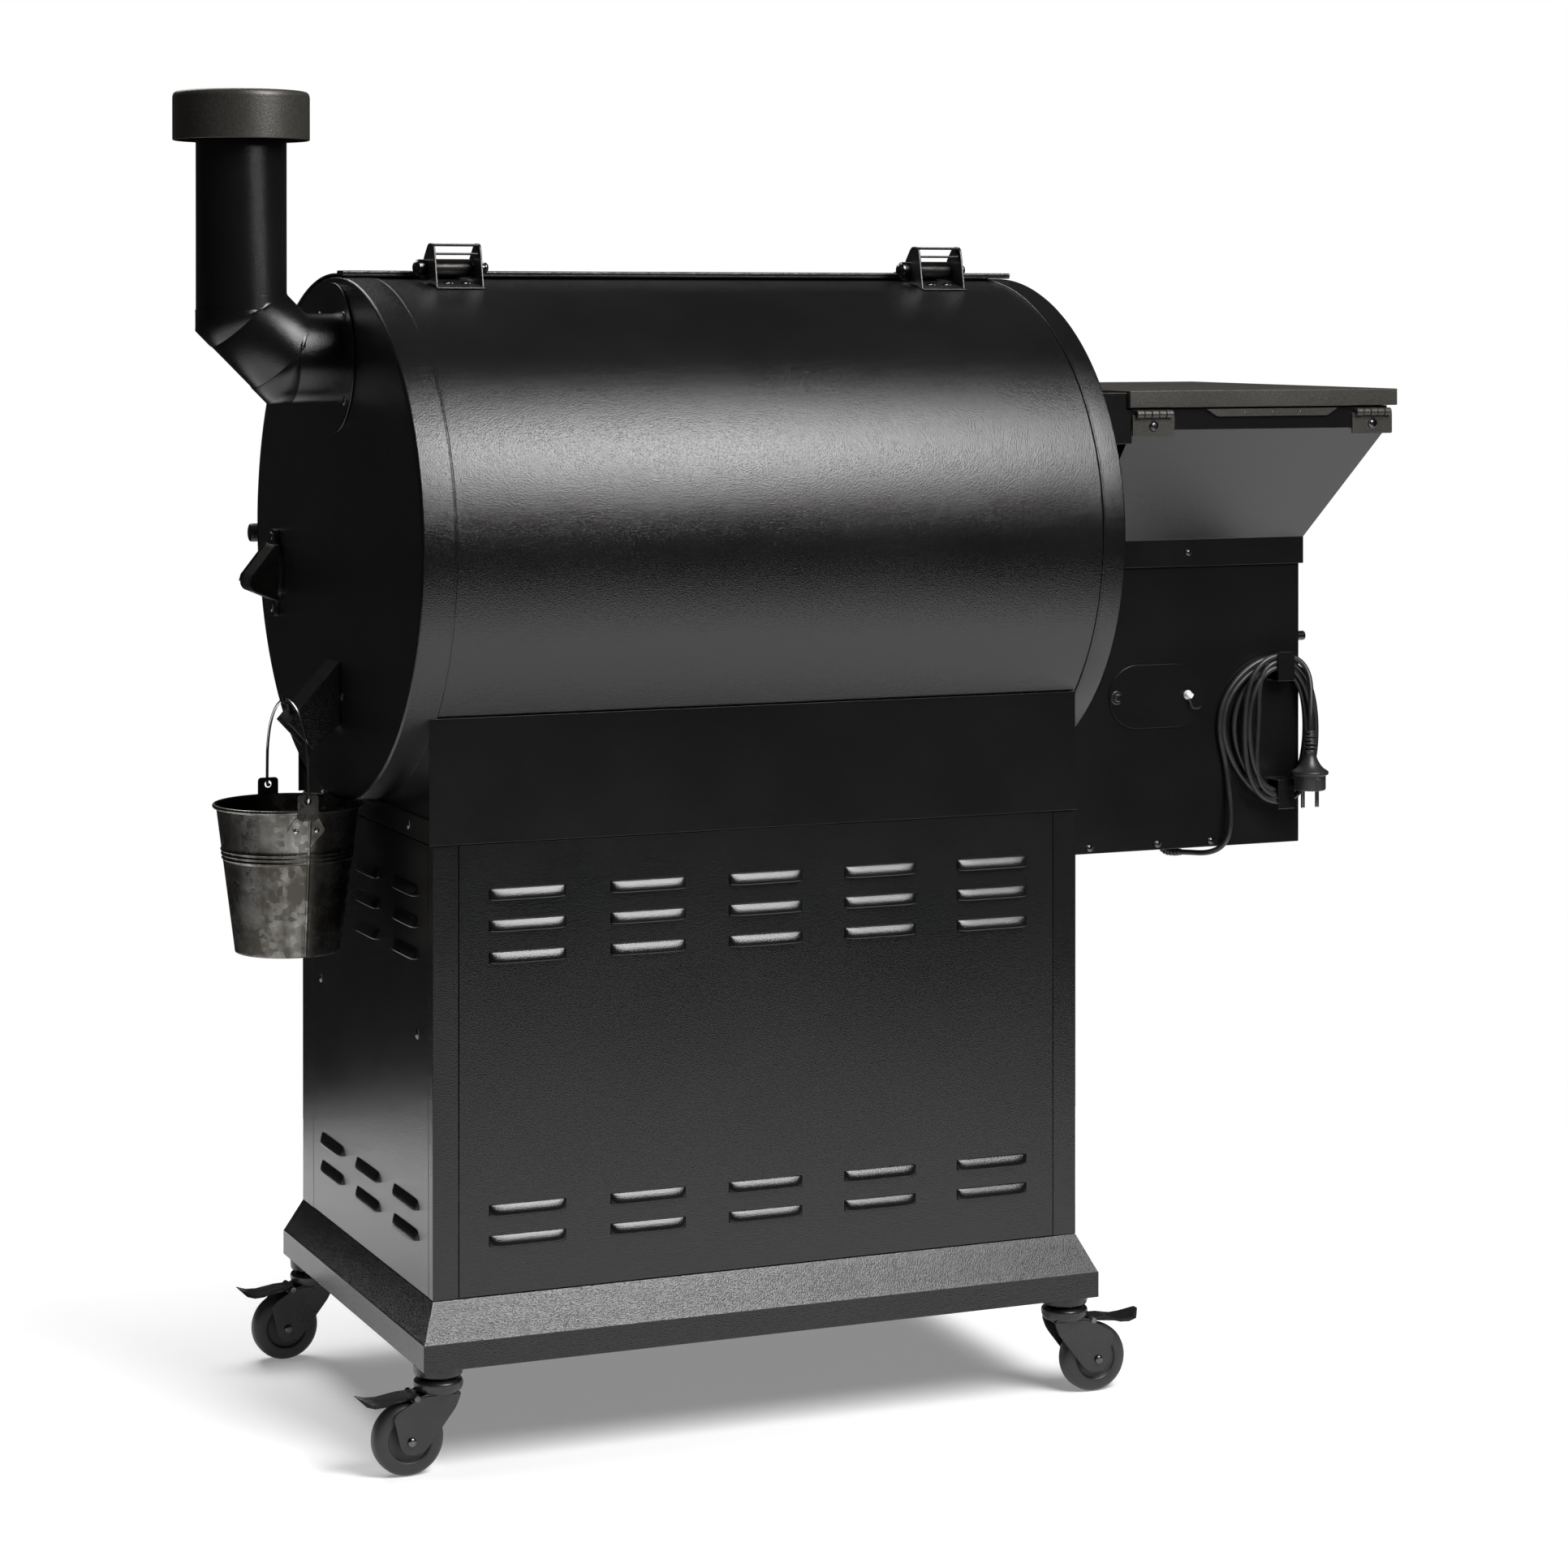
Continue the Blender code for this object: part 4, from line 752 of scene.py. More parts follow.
def power_plug():
    """A round two-pin plug: slotted strain relief, waist, flange, and a body with side grooves."""
    x, y = PLUG
    body = [(0.011, 0.649), (0.0165, 0.649), (0.018, 0.6498), (0.0185, 0.6513), (0.0185, 0.6656),
            (0.019, 0.6668), (0.0211, 0.6675), (0.0217, 0.6684), (0.0217, 0.6706), (0.0207, 0.6716),
            (0.0158, 0.6748), (0.0122, 0.679), (0.0092, 0.6845), (0.0074, 0.6895), (0.0072, 0.6925),
            (0.008, 0.6948), (0.0082, 0.6962), (0.006, 0.6968), (0.0036, 0.6968)]
    shape = turned("z", (x, y, 0), [(0.0036, 0.649)] + body, 56, ring=True)
    grooves = [box(x + s * 0.0172, x + s * 0.02, y - 0.003, y + 0.003, 0.646, 0.662) for s in (-1, 1)]
    grooves += [box(x - 0.003, x + 0.003, y + s * 0.0172, y + s * 0.02, 0.646, 0.662) for s in (-1, 1)]
    plug = piece("plug_body", shape, PLASTIC, "cart", ["power_plug"], cuts=grooves)
    strain_relief(plug)
    pins = []
    for d in (-0.0095, 0.0095):
        pins.append(turned("z", (x + d, y, 0), [(0.0016, 0.6281), (0.0024, 0.629), (0.0024, 0.648)], 24))
    metal = piece("plug_pins", merged(pins), WIRE, "cart", bevel=0.0002)
    metal.parent = plug
    metal.location = (0, 0, 0)
    return plug


def strain_relief(plug):
    """A tapered sleeve over the cord: a thin core with rings that each stop short on two sides."""
    x, y = PLUG
    core = [(0.0034, 0.6964), (0.0056, 0.6964), (0.0044, 0.719), (0.0034, 0.719)]
    shapes = [turned("z", (x, y, 0), core, 32, ring=True)]
    for row in range(5):
        z = 0.6984 + 0.0044 * row
        outer = 0.0084 - 0.0005 * row
        shapes.append(turned("z", (x, y, 0), [(0.005, z), (outer, z), (outer, z + 0.0026),
                                              (0.005, z + 0.0026)],
                             32, ring=True))
    for row in range(4):
        z = 0.7008 + 0.0044 * row
        outer = 0.0082 - 0.0005 * row
        quarter = math.pi / 2 * (row % 2)
        for turn in (quarter, quarter + math.pi):
            outward = Vector((math.cos(turn), math.sin(turn), 0))
            near = outward * (outer - 0.0016)
            across = Vector((-math.sin(turn), math.cos(turn), 0)) * 0.0024
            deep = outward * 0.0014
            foot = [near - across, near + across, near + across + deep, near - across + deep]
            rings = [[(x + p.x, y + p.y, level) for p in foot] for level in (z, z + 0.0022)]
            shapes.append(skin(rings))
    relief = piece("plug_relief", merged(shapes), PLASTIC, "cart")
    relief.parent = plug
    relief.location = (0, 0, 0)


camera()
power_cord()


# Drum.


def drum_barrel():
    """The oval barrel with its opening, and the ledges for the grates."""
    inset = -SHELL_INSET
    shell = skin([[(x, y, z) for y, z in oval(inset)] for x in (DRUM_LEFT, DRUM_RIGHT - GAP)]
                 + [[(x, y, z) for y, z in oval(inset - SHEET)] for x in (DRUM_RIGHT - GAP, DRUM_LEFT)],
                 closed=True)
    opening = box(DRUM_LEFT + 0.03, DRUM_RIGHT - 0.03, -0.4, 0.004, OPENING_Z, 1.4)
    piece("drum_barrel", shell, BODY_COAT, "cart", ["drum_body"], cuts=[opening])
    ledges = []
    for end in (-1, 1):
        for reach, low in ((0.3068, 0.884), (0.2845, 0.872)):
            y0, y1 = sorted((DRUM_Y + end * reach, DRUM_Y + end * 0.283))
            ledges.append(box(-LEDGE_X, LEDGE_X, y0, y1, low, LEDGE_TOP))
    piece("drum_ledges", merged(ledges), BODY_COAT, "cart", bevel=0.0004)


def end_caps():
    """Ringed end plates with a rolled outer edge and a stepped seam against the barrel."""
    for name, face, seam in (("left", CAP_LEFT, DRUM_LEFT - GAP), ("right", CAP_RIGHT, DRUM_RIGHT)):
        inward = 1 if face < 0 else -1
        depth = abs(face - seam)
        profile = [(0.0, -0.0045), (0.0003, -0.0026), (0.0012, -0.001), (0.0028, 0.0), (depth - 0.0036, 0.0),
                   (depth - 0.003, -0.0006), (depth - 0.0024, 0.0), (depth - 0.001, 0.0), (depth, -0.0008),
                   (depth, -0.0025), (SHEET, -0.0025)]
        rings = [[(face + inward * d, y, z) for y, z in oval(grow)] for d, grow in profile]
        if name == "right":
            cuts = [rod("x", (face - 0.01, DRUM_Y, CHIMNEY_Z), 0.045, 0.02, 64),
                    box(face - 0.01, face + 0.01, -0.028, 0.018, 0.76, 0.822)]
        else:
            cuts = [rod("x", (face - 0.01, DRUM_Y, 0.735), 0.0246, 0.02, 48)]
        piece(name + "_cap", skin(rings), BODY_COAT, "cart", [name + "_end_cap"], cuts=cuts)


def drum_lid():
    """The curved lid: hemmed lower edge, rear lip, and the barrels that turn on the pins."""
    start = 84.5
    end = 196.0
    x0 = CAP_LEFT + 0.0005
    x1 = CAP_RIGHT - 0.0005
    outer = oval(0.0036, 180, start, end)
    inner = oval(0.0012, 180, start, end)[::-1]
    shapes = [prism(outer + inner, "x", x0, x1)]
    hem = oval(0.0024, 1, end, end + 0.1)[0]
    shapes.append(rod("x", (x0 + 0.001, hem[0], hem[1] - 0.0004), 0.0024, x1 - x0 - 0.002, 20))
    piece("drum_lid_shell", merged(shapes), BODY_COAT, "drum_lid", ["drum_lid"], bevel=0.0006)
    lip = prism(rounded([(0.006, 1.2494), (0.029, 1.2494), (0.029, 1.2538), (0.006, 1.254)], 0.0018, 4), "x",
                x0, x1)
    piece("drum_lid_lip", lip, BODY_COAT, "drum_lid", bevel=0.0006)
    barrels = []
    for x in LID_HINGE_X:
        barrels.append(turned("x", (x, LID_HINGE_Y, LID_HINGE_Z),
                              [(0.0044, -0.023), (0.0088, -0.023), (0.0095, -0.0223), (0.0095, 0.0223),
                               (0.0088, 0.023), (0.0044, 0.023)], 40, ring=True))
        plate = [(-0.034, 1.25), (LID_HINGE_Y, 1.249), (LID_HINGE_Y, 1.256), (0.0, 1.2556), (-0.034, 1.252)]
        barrels.append(prism(plate, "x", x - 0.0175, x + 0.0175))
    piece("lid_barrels", merged(barrels), GUNMETAL, "drum_lid", bevel=0.0006)
    places = [(x + d, -0.016, 1.2545) for x in LID_HINGE_X for d in (-0.01, 0.01)]
    screws("lid_barrel_screws", places, (0, 0, 1), "drum_lid", 0.003)


def lid_handle():
    """A full-width bar with turned end caps, on two forged brackets."""
    x0 = CAP_LEFT + 0.01
    length = CAP_RIGHT - CAP_LEFT - 0.016
    bar = [(0.003, 0.0), (0.008, 0.0), (0.0103, 0.001), (0.0109, 0.003), (0.0109, 0.034), (0.0104, 0.0346),
           (0.0104, 0.0366), (0.0109, 0.0372)]
    whole = bar + [(radius, length - d) for radius, d in reversed(bar)]
    shapes = [turned("x", (x0, HANDLE_Y, HANDLE_Z), whole, 40)]
    feet = []
    for x in (CAP_LEFT + 0.03, CAP_RIGHT - 0.03):
        arm = [(HANDLE_Y - 0.004, HANDLE_Z - 0.004), (HANDLE_Y + 0.004, 0.922), (-0.3262, 0.92),
               (-0.328, 0.962), (HANDLE_Y, HANDLE_Z + 0.004)]
        shapes.append(prism(rounded(arm, 0.004), "x", x - 0.006, x + 0.006))
        feet.append(x)
    piece("handle_bar", merged(shapes), GUNMETAL, "drum_lid", ["lid_handle"], bevel=0.001)
    places = [(x + d, -0.3272, 0.941) for x in feet for d in (-0.013, 0.013)]
    bolts("handle_bolts", places, (0, -1, -0.05), "drum_lid", 0.0036)


def lid_hinges():
    """Brackets on the drum's top: saddle, two cheeks, two flat cross bars, and a pin with a sleeve."""
    half = 0.0275
    cheek_thickness = 0.0025
    for x, name in zip(LID_HINGE_X, ("left", "right")):
        shapes = []
        saddle = oval(GAP - SHELL_INSET, 8, 85.0, 72.5) + oval(0.0022 - SHELL_INSET, 8, 85.0, 72.5)[::-1]
        shapes.append(prism(saddle, "x", x - half, x + half))
        foot = oval(0.0008 - SHELL_INSET, 5, 73.2, 82.5)
        top = rounded([(0.043, 1.25), (0.042, 1.266), (0.06, 1.2838), (0.078, 1.283), (0.082, 1.27),
                       (0.086, 1.245)], 0.006)
        cheek = foot + [p for p in top if p[1] > 1.256]
        for face in (-half, half - cheek_thickness):
            shapes.append(prism(cheek, "x", x + face, x + face + cheek_thickness))
        shapes.append(box(x - 0.026, x + 0.026, 0.0655, 0.0785, 1.28, 1.2828))
        shapes.append(box(x - 0.026, x + 0.026, 0.0705, 0.0775, 1.2705, 1.273))
        piece(name + "_hinge_bracket", merged(shapes), BLACK_STEEL, "cart", [name + "_lid_hinge"],
              bevel=0.0007)
        pin = [(0.0016, -0.044), (0.0042, -0.0432), (0.0058, -0.0412), (0.0062, -0.0392), (0.0042, -0.0386),
               (0.004, 0.0266), (0.0088, 0.027), (0.009, 0.0276), (0.009, 0.0366), (0.0084, 0.0372),
               (0.0072, 0.0374), (0.007, 0.0386), (0.0058, 0.0404), (0.0036, 0.0416), (0.0014, 0.042)]
        piece(name + "_hinge_pin", turned("x", (x, LID_HINGE_Y, LID_HINGE_Z), pin, 36), BLACK_ZINC, "cart")
        angle = math.radians(75.5)
        place_y = DRUM_Y + (CAP_RY + 0.0006) * math.cos(angle)
        place_z = DRUM_Z + (CAP_RZ + 0.0006) * math.sin(angle)
        places = [(x + d, place_y - 0.004, place_z + 0.0008) for d in (-0.011, 0.009)]
        screws(name + "_hinge_screws", places, (0, 0.23, 0.97), "cart", 0.0036)


def thermometer():
    """A dial on the lid's front: turned bezel, face, graduations and needle."""
    angle = math.radians(155)
    normal = Vector((0, math.cos(angle) / CAP_RY, math.sin(angle) / CAP_RZ)).normalized()
    middle = Vector((0, DRUM_Y + CAP_RY * math.cos(angle),
                     DRUM_Z + CAP_RZ * math.sin(angle))) + normal * 0.0045

    def placed(shape):
        return aimed(shape, middle, normal)

    bezel = [(0.03, 0.0), (0.0345, 0.0), (0.0368, 0.003), (0.0372, 0.01), (0.0362, 0.0135), (0.0335, 0.015),
             (0.0315, 0.0142), (0.031, 0.011), (0.03, 0.01)]
    piece("thermometer_bezel", placed(turned("z", (0, 0, 0), bezel, 72, ring=True)), BEZEL, "drum_lid",
          ["lid_thermometer"])
    piece("thermometer_face", placed(rod("z", (0, 0, 0.008), 0.0312, 0.0025, 64)), DIAL, "drum_lid")
    marks = []
    for i in range(41):
        turn = math.radians(225 - 270 * i / 40)
        size = 0.0048 if i % 5 == 0 else 0.0026
        wide = 0.00045 if i % 5 == 0 else 0.00025
        mark = box(0.0285 - size, 0.0285, -wide, wide, 0.0105, 0.0109)
        marks.append(swung(mark, (1, 0, 0), (math.cos(turn), math.sin(turn), 0)))
    piece("thermometer_marks", placed(merged(marks)), MARKS_AND_SHADE, "drum_lid")
    needle = prism([(-0.006, 0.0011), (-0.006, -0.0011), (0.0225, -0.0002), (0.0225, 0.0002)], "z", 0.0112,
                   0.0117)
    swung(needle, (1, 0, 0), Vector((-0.7, -0.7, 0)).normalized())
    hub = turned("z", (0, 0, 0), [(0.0026, 0.0105), (0.0026, 0.0122), (0.0016, 0.0128)], 24)
    piece("thermometer_needle", placed(merged([needle, hub])), NEEDLE, "drum_lid")


drum_barrel()
end_caps()
drum_lid()
lid_handle()
lid_hinges()
thermometer()


# Chimney.


def chimney():
    """Flange, mitred elbow with raised seams, stack with the bridge for the cap's stem, and the cap."""
    bend = 0.05
    low = Vector((CHIMNEY_X - bend, DRUM_Y, CHIMNEY_Z))
    high = Vector((CHIMNEY_X, DRUM_Y, CHIMNEY_Z + bend))
    start = Vector((WALL, DRUM_Y, CHIMNEY_Z))
    top = Vector((CHIMNEY_X, DRUM_Y, STACK_TOP))
    shapes = [swept([start, low, high, top], CHIMNEY_R, 80, CHIMNEY_R - 0.0015)]
    for corner, before, after in ((low, start, high), (high, low, top)):
        near = corner + (before - corner).normalized() * 0.003
        far = corner + (after - corner).normalized() * 0.003
        shapes.append(swept([near, corner, far], CHIMNEY_R + 0.0007, 80, CHIMNEY_R - 0.001))
    flange = [(CHIMNEY_R - 0.001, 0.0), (0.082, 0.0), (0.0825, 0.0005), (0.0825, 0.0015), (0.082, 0.002),
              (CHIMNEY_R - 0.001, 0.002)]
    shapes.append(turned("x", start, flange, 96, ring=True))
    shapes.append(box(CHIMNEY_X - 0.048, CHIMNEY_X + 0.048, DRUM_Y - 0.008, DRUM_Y + 0.008, 1.385, 1.3868))
    piece("chimney_stack", merged(shapes), PIPE_COAT, "cart", ["chimney_pipe"])
    places = []
    for turn in (45, 135, 225, 315):
        t = math.radians(turn)
        places.append((WALL + 0.0018, DRUM_Y + 0.066 * math.cos(t), CHIMNEY_Z + 0.066 * math.sin(t)))
    screws("flange_screws", places, (1, 0, 0), "cart", 0.0036)
    profile = [(0.0722, 1.3948), (0.0728, 1.3945), (0.0736, 1.3948), (0.074, 1.3955), (0.074, 1.44),
               (0.0738, 1.4425), (0.0728, 1.4452), (0.071, 1.4468), (0.0685, 1.4475), (0.01, 1.4475),
               (0.01, 1.4462), (0.069, 1.4462), (0.0718, 1.444), (0.0724, 1.44)]
    shapes = [turned("z", (CHIMNEY_X, DRUM_Y, 0), profile, 112, ring=True)]
    piece("chimney_hood", merged(shapes), BRONZE, "chimney_cap", ["chimney_cap"])
    stem = [(0.003, 1.36), (0.003, 1.444), (0.01, 1.444), (0.0101, 1.4461), (0.009, 1.4475), (0.002, 1.4475)]
    piece("chimney_stem", turned("z", (CHIMNEY_X, DRUM_Y, 0), stem, 24), BLACK_ZINC, "chimney_cap")


chimney()


# Grease bucket, chute and opener.


def grease_bucket():
    """A tapered pail: rolled rim, three ribs, chime, lap seam, and riveted ears."""
    low = BUCKET_LOW
    high = BUCKET_RIM
    base_r = 0.057
    rim_r = 0.078
    ribs_low = 0.612
    ribs_high = 0.629
    rivet_z = 0.6515

    def wall(z):
        return base_r + (rim_r - base_r) * (z - low) / (high - low)

    outer = [(wall(low) - 0.0012, low), (wall(low), low + 0.0006), (wall(low) + 0.0004, low + 0.0022),
             (wall(low + 0.004), low + 0.004), (wall(ribs_low), ribs_low)]
    for rib in range(3):
        for part in range(9):
            z = ribs_low + 0.0015 + rib * 0.0046 + part * 0.00045
            outer.append((wall(z) + 0.0013 * math.sin(math.pi * part / 8), z))
    outer += [(wall(ribs_high), ribs_high), (wall(high - 0.0055), high - 0.0055)]
    for part in range(11):
        t = math.radians(-120 + 30 * part)
        outer.append((rim_r + 0.0014 + 0.0023 * math.cos(t), high - 0.0024 + 0.0023 * math.sin(t)))
    inner = [(wall(high - 0.006) - 0.0009, high - 0.006), (wall(low + 0.004) - 0.0009, low + 0.004),
             (0.001, low + 0.004), (0.001, low + 0.0028), (wall(low) - 0.0014, low + 0.0028)]
    shell = turned("z", (HOOK_X, DRUM_Y, 0), outer + inner, 96, ring=True)
    floor = rod("z", (HOOK_X, DRUM_Y, low + 0.0027), 0.003, 0.0012, 24)
    seam = []
    for z in (low + 0.002, ribs_low, ribs_high, high - 0.006):
        r = wall(z)
        seam.append([(HOOK_X - 0.0058, DRUM_Y + r - 0.0006, z), (HOOK_X - 0.0054, DRUM_Y + r + 0.0008, z),
                     (HOOK_X - 0.0024, DRUM_Y + r + 0.001, z), (HOOK_X - 0.0018, DRUM_Y + r - 0.0004, z)])
    piece("bucket_pail", merged([shell, floor, skin(seam)]), ZINC, "bucket", ["grease_bucket"])
    ears = []
    rivets = []
    for end in (-1, 1):
        tab = rounded([(-0.0115, 0.663), (0.0115, 0.663), (0.0115, 0.6915), (-0.0115, 0.6915)], 0.0045)
        y0, y1 = sorted((DRUM_Y + end * 0.0806, DRUM_Y + end * 0.0818))
        ears.append(prism([(HOOK_X + a, z) for a, z in tab], "y", y0, y1))
        plate = rounded([(-0.0125, 0.666), (0.0125, 0.666), (0.0215, 0.651), (0.003, 0.632),
                         (-0.003, 0.632), (-0.0215, 0.651)], 0.0035)
        rings = []
        for lift in (0.0002, 0.0014):
            ring = []
            for a, z in plate:
                r = wall(z) + lift
                ring.append((HOOK_X + a, DRUM_Y + end * math.sqrt(r * r - a * a), z))
            rings.append(ring)
        ears.append(skin(rings))
        for a in (-0.0115, 0.0115):
            r = wall(rivet_z)
            place = (HOOK_X + a, DRUM_Y + end * (math.sqrt(r * r - a * a) + 0.0012), rivet_z)
            rivets.append(aimed(dome(0.003), place, (a / r, end, -0.12)))
    hole = rod("y", (HOOK_X, DRUM_Y - 0.1, EAR_Z), 0.004, 0.2, 24)
    piece("bucket_ears", merged(ears), ZINC, "bucket", cuts=[hole])
    piece("bucket_rivets", merged(rivets), WIRE, "bucket")


def bucket_bail():
    """A wire loop whose ends hook through the ears."""
    reach = 0.0845
    crown = HOOK_Z + 0.0003
    points = [(HOOK_X, DRUM_Y - 0.076, EAR_Z), (HOOK_X, DRUM_Y - 0.08, EAR_Z - 0.0008),
              (HOOK_X, DRUM_Y - reach, EAR_Z + 0.002)]
    for i in range(1, 24):
        turn = math.radians(180 - 7.5 * i)
        rise = 0.7 + (crown - 0.7) * math.sin(turn) ** 0.8
        points.append((HOOK_X, DRUM_Y + reach * math.cos(turn), rise))
    points += [(HOOK_X, DRUM_Y + reach, EAR_Z + 0.002), (HOOK_X, DRUM_Y + 0.08, EAR_Z - 0.0008),
               (HOOK_X, DRUM_Y + 0.076, EAR_Z)]
    piece("bail_wire", swept(smooth(points, 0.003), 0.0016, 16), WIRE, "bail", ["bucket_bail"])


def bottle_opener():
    """A cast opener: a shaped plate, and a hooded beak with raised edges, with a dark strip of painted shade
    in its mouth.
    """
    middle = DRUM_Y - 0.24
    plate = [(-0.013, 0.858), (0.013, 0.858), (0.015, 0.876), (0.031, 0.888), (0.033, 0.924), (0.015, 0.94),
             (0.013, 0.958), (-0.013, 0.958), (-0.015, 0.94), (-0.033, 0.924), (-0.031, 0.888),
             (-0.015, 0.876)]
    base = prism([(middle + a, z) for a, z in rounded(plate, 0.006)], "x", WALL, WALL + 0.0045)
    beak = [(WALL + 0.002, 0.942), (WALL + 0.007, 0.939), (WALL + 0.033, 0.906), (WALL + 0.0365, 0.896),
            (WALL + 0.033, 0.8885), (WALL + 0.006, 0.8775), (WALL + 0.002, 0.876)]
    hood = prism(rounded(beak, 0.0035), "y", middle - 0.024, middle + 0.024)
    edges = []
    for side in (-1, 1):
        y0, y1 = sorted((middle + side * 0.0215, middle + side * 0.025))
        edge = [(WALL + 0.006, 0.942), (WALL + 0.035, 0.9055), (WALL + 0.0372, 0.8975), (WALL + 0.032, 0.901),
                (WALL + 0.004, 0.933)]
        edges.append(prism(edge, "y", y0, y1))
    piece("opener_casting", merged([base, hood] + edges), GUNMETAL, "cart", ["bottle_opener"], bevel=0.0009)
    # A dark strip in the beak's mouth: painted shade where the opening would lie in shadow.
    mouth = [(WALL + 0.0062, 0.8785), (WALL + 0.029, 0.8878), (WALL + 0.029, 0.8868), (WALL + 0.0062, 0.877)]
    piece("opener_mouth_shade", prism(mouth, "y", middle - 0.018, middle + 0.018), MARKS_AND_SHADE, "cart")
    places = [(WALL + 0.0044, middle, z) for z in (0.95, 0.867)]
    screws("opener_screws", places, (1, 0, 0), "cart", 0.004)


grease_bucket()
bucket_bail()
bottle_opener()
carry("grease_chute", BODY_COAT, 0.0008)
screws("chute_screws", [(WALL + 0.0004, y, 0.79) for y in (0.03, -0.04)], (1, 0, 0), "cart", 0.0034)


# Cart.


def louvre(face, sign, run, middle, z):
    """A pressed hood: it leaves the sheet at its top, bulges out, and ends in a lip over its slot."""
    half = LOUVRE_LENGTH / 2
    top = 0.0068
    drop = 0.0128
    reach = 0.0052
    rings = []
    columns = 40
    rows = 10
    for i in range(columns + 1):
        u = -1 + 2 * i / columns
        edge = max(0.0, 1 - abs(u) ** 7) ** 0.5
        ring = []
        for k in range(rows + 1):
            v = k / rows
            bulge = math.sin(math.pi / 2 * v) ** 0.85
            ring.append((bulge * reach * edge, top - drop * v - 0.0022 * (1 - edge) * (0.5 - v)))
        for k in range(rows, -1, -1):
            out, up = ring[k]
            ring.append((out - 0.0013, up - 0.0006 * (1 - k / rows)))
        rings.append([spot(run, face + sign * out, up + z, middle + half * u) for out, up in ring])
    return skin(rings)


def louvred(name, axis, face, x0, x1, middles, node):
    """A sheet that faces along an axis, with a slot behind each of its hoods."""
    sign = 1 if face > 0 else -1
    run = "x" if axis == "y" else "y"
    low, high = sorted((face - sign * SHEET, face))

    def block(along, through, bottom, top):
        return box(*along, *through, bottom, top) if axis == "y" else box(*through, *along, bottom, top)

    sheet = block((x0, x1), (low, high), CAB_LOW + 0.001, CAB_TOP - 0.001)
    slots = []
    hoods = []
    reach = LOUVRE_LENGTH / 2 - 0.006
    for middle in middles:
        for z in LOUVRE_ROWS:
            slots.append(block((middle - reach, middle + reach), (low - 0.005, high + 0.005), z - 0.0055,
                               z + 0.0035))
            hoods.append(louvre(face, sign, run, middle, z))
    piece(name + "_sheet", sheet, CART_COAT, "cart", [node], cuts=slots, bevel=0.0004)
    piece(name + "_louvres", merged(hoods), CART_COAT, "cart")


def panels():
    """The rear and side panels, their screws, and the fold along the rear panel's top."""
    wide = CAB_X - POST_REAR - 0.0008
    louvred("rear", "y", CAB_Y, -wide, wide, [i * LOUVRE_PITCH_X for i in range(-2, 3)], "rear_panel")
    middles = [LOUVRE_MID_Y + i * LOUVRE_PITCH_Y for i in (-1, 0, 1)]
    for side, name in ((-1, "left"), (1, "right")):
        louvred(name, "x", side * CAB_X, SIDE_FRONT, SIDE_BACK, middles, name + "_side_panel")
        for part, ends, z in (("side", (-0.17, 0.196), 0.449), ("rail", (-0.164, 0.164), 0.6655)):
            places = [(side * (CAB_X + 0.0001), y, z) for y in ends]
            screws(name + "_" + part + "_screws", places, (side, 0, 0), "cart", 0.004)
    fold = box(-wide, wide, CAB_Y - 0.012, CAB_Y - 0.0004, CAB_TOP - 0.003, CAB_TOP - 0.0012)
    piece("rear_fold", fold, CART_COAT, "cart", bevel=0.0004)


def doors():
    """Folded pans with bar handles and hinge leaves."""
    for side, name in ((-1, "left"), (1, "right")):
        body = name + "_door"
        x0, x1 = sorted((side * 0.001, side * 0.3538))
        pan = box(x0, x1, -CAB_Y, -0.23, DOOR_LOW, DOOR_TOP)
        hollow = box(x0 + SHEET, x1 - SHEET, -CAB_Y + SHEET, -0.22, DOOR_LOW + SHEET, DOOR_TOP - SHEET)
        piece(name + "_door_pan", pan, CART_COAT, body, [body], cuts=[hollow], bevel=0.001)
        bar = [(-0.247, 0.38), (-0.266, 0.38), (-0.2755, 0.3835), (-0.279, 0.393), (-0.279, 0.47),
               (-0.279, 0.547), (-0.2755, 0.5565), (-0.266, 0.56), (-0.247, 0.56)]
        grip = smooth([(side * 0.03, y, z) for y, z in bar], 0.003)
        piece(name + "_door_handle", swept(grip, 0.006, 28), GUNMETAL, body)
        leaves = []
        for z in (0.25, 0.562):
            leaves.append(rod("z", (side * 0.3545, -0.2525, z), 0.0036, 0.02, 24))
            a, b = sorted((side * 0.3425, side * 0.3545))
            leaves.append(box(a, b, -0.2528, -0.2478, z, z + 0.02))
        piece(name + "_door_leaves", merged(leaves), GUNMETAL, body, bevel=0.0004)


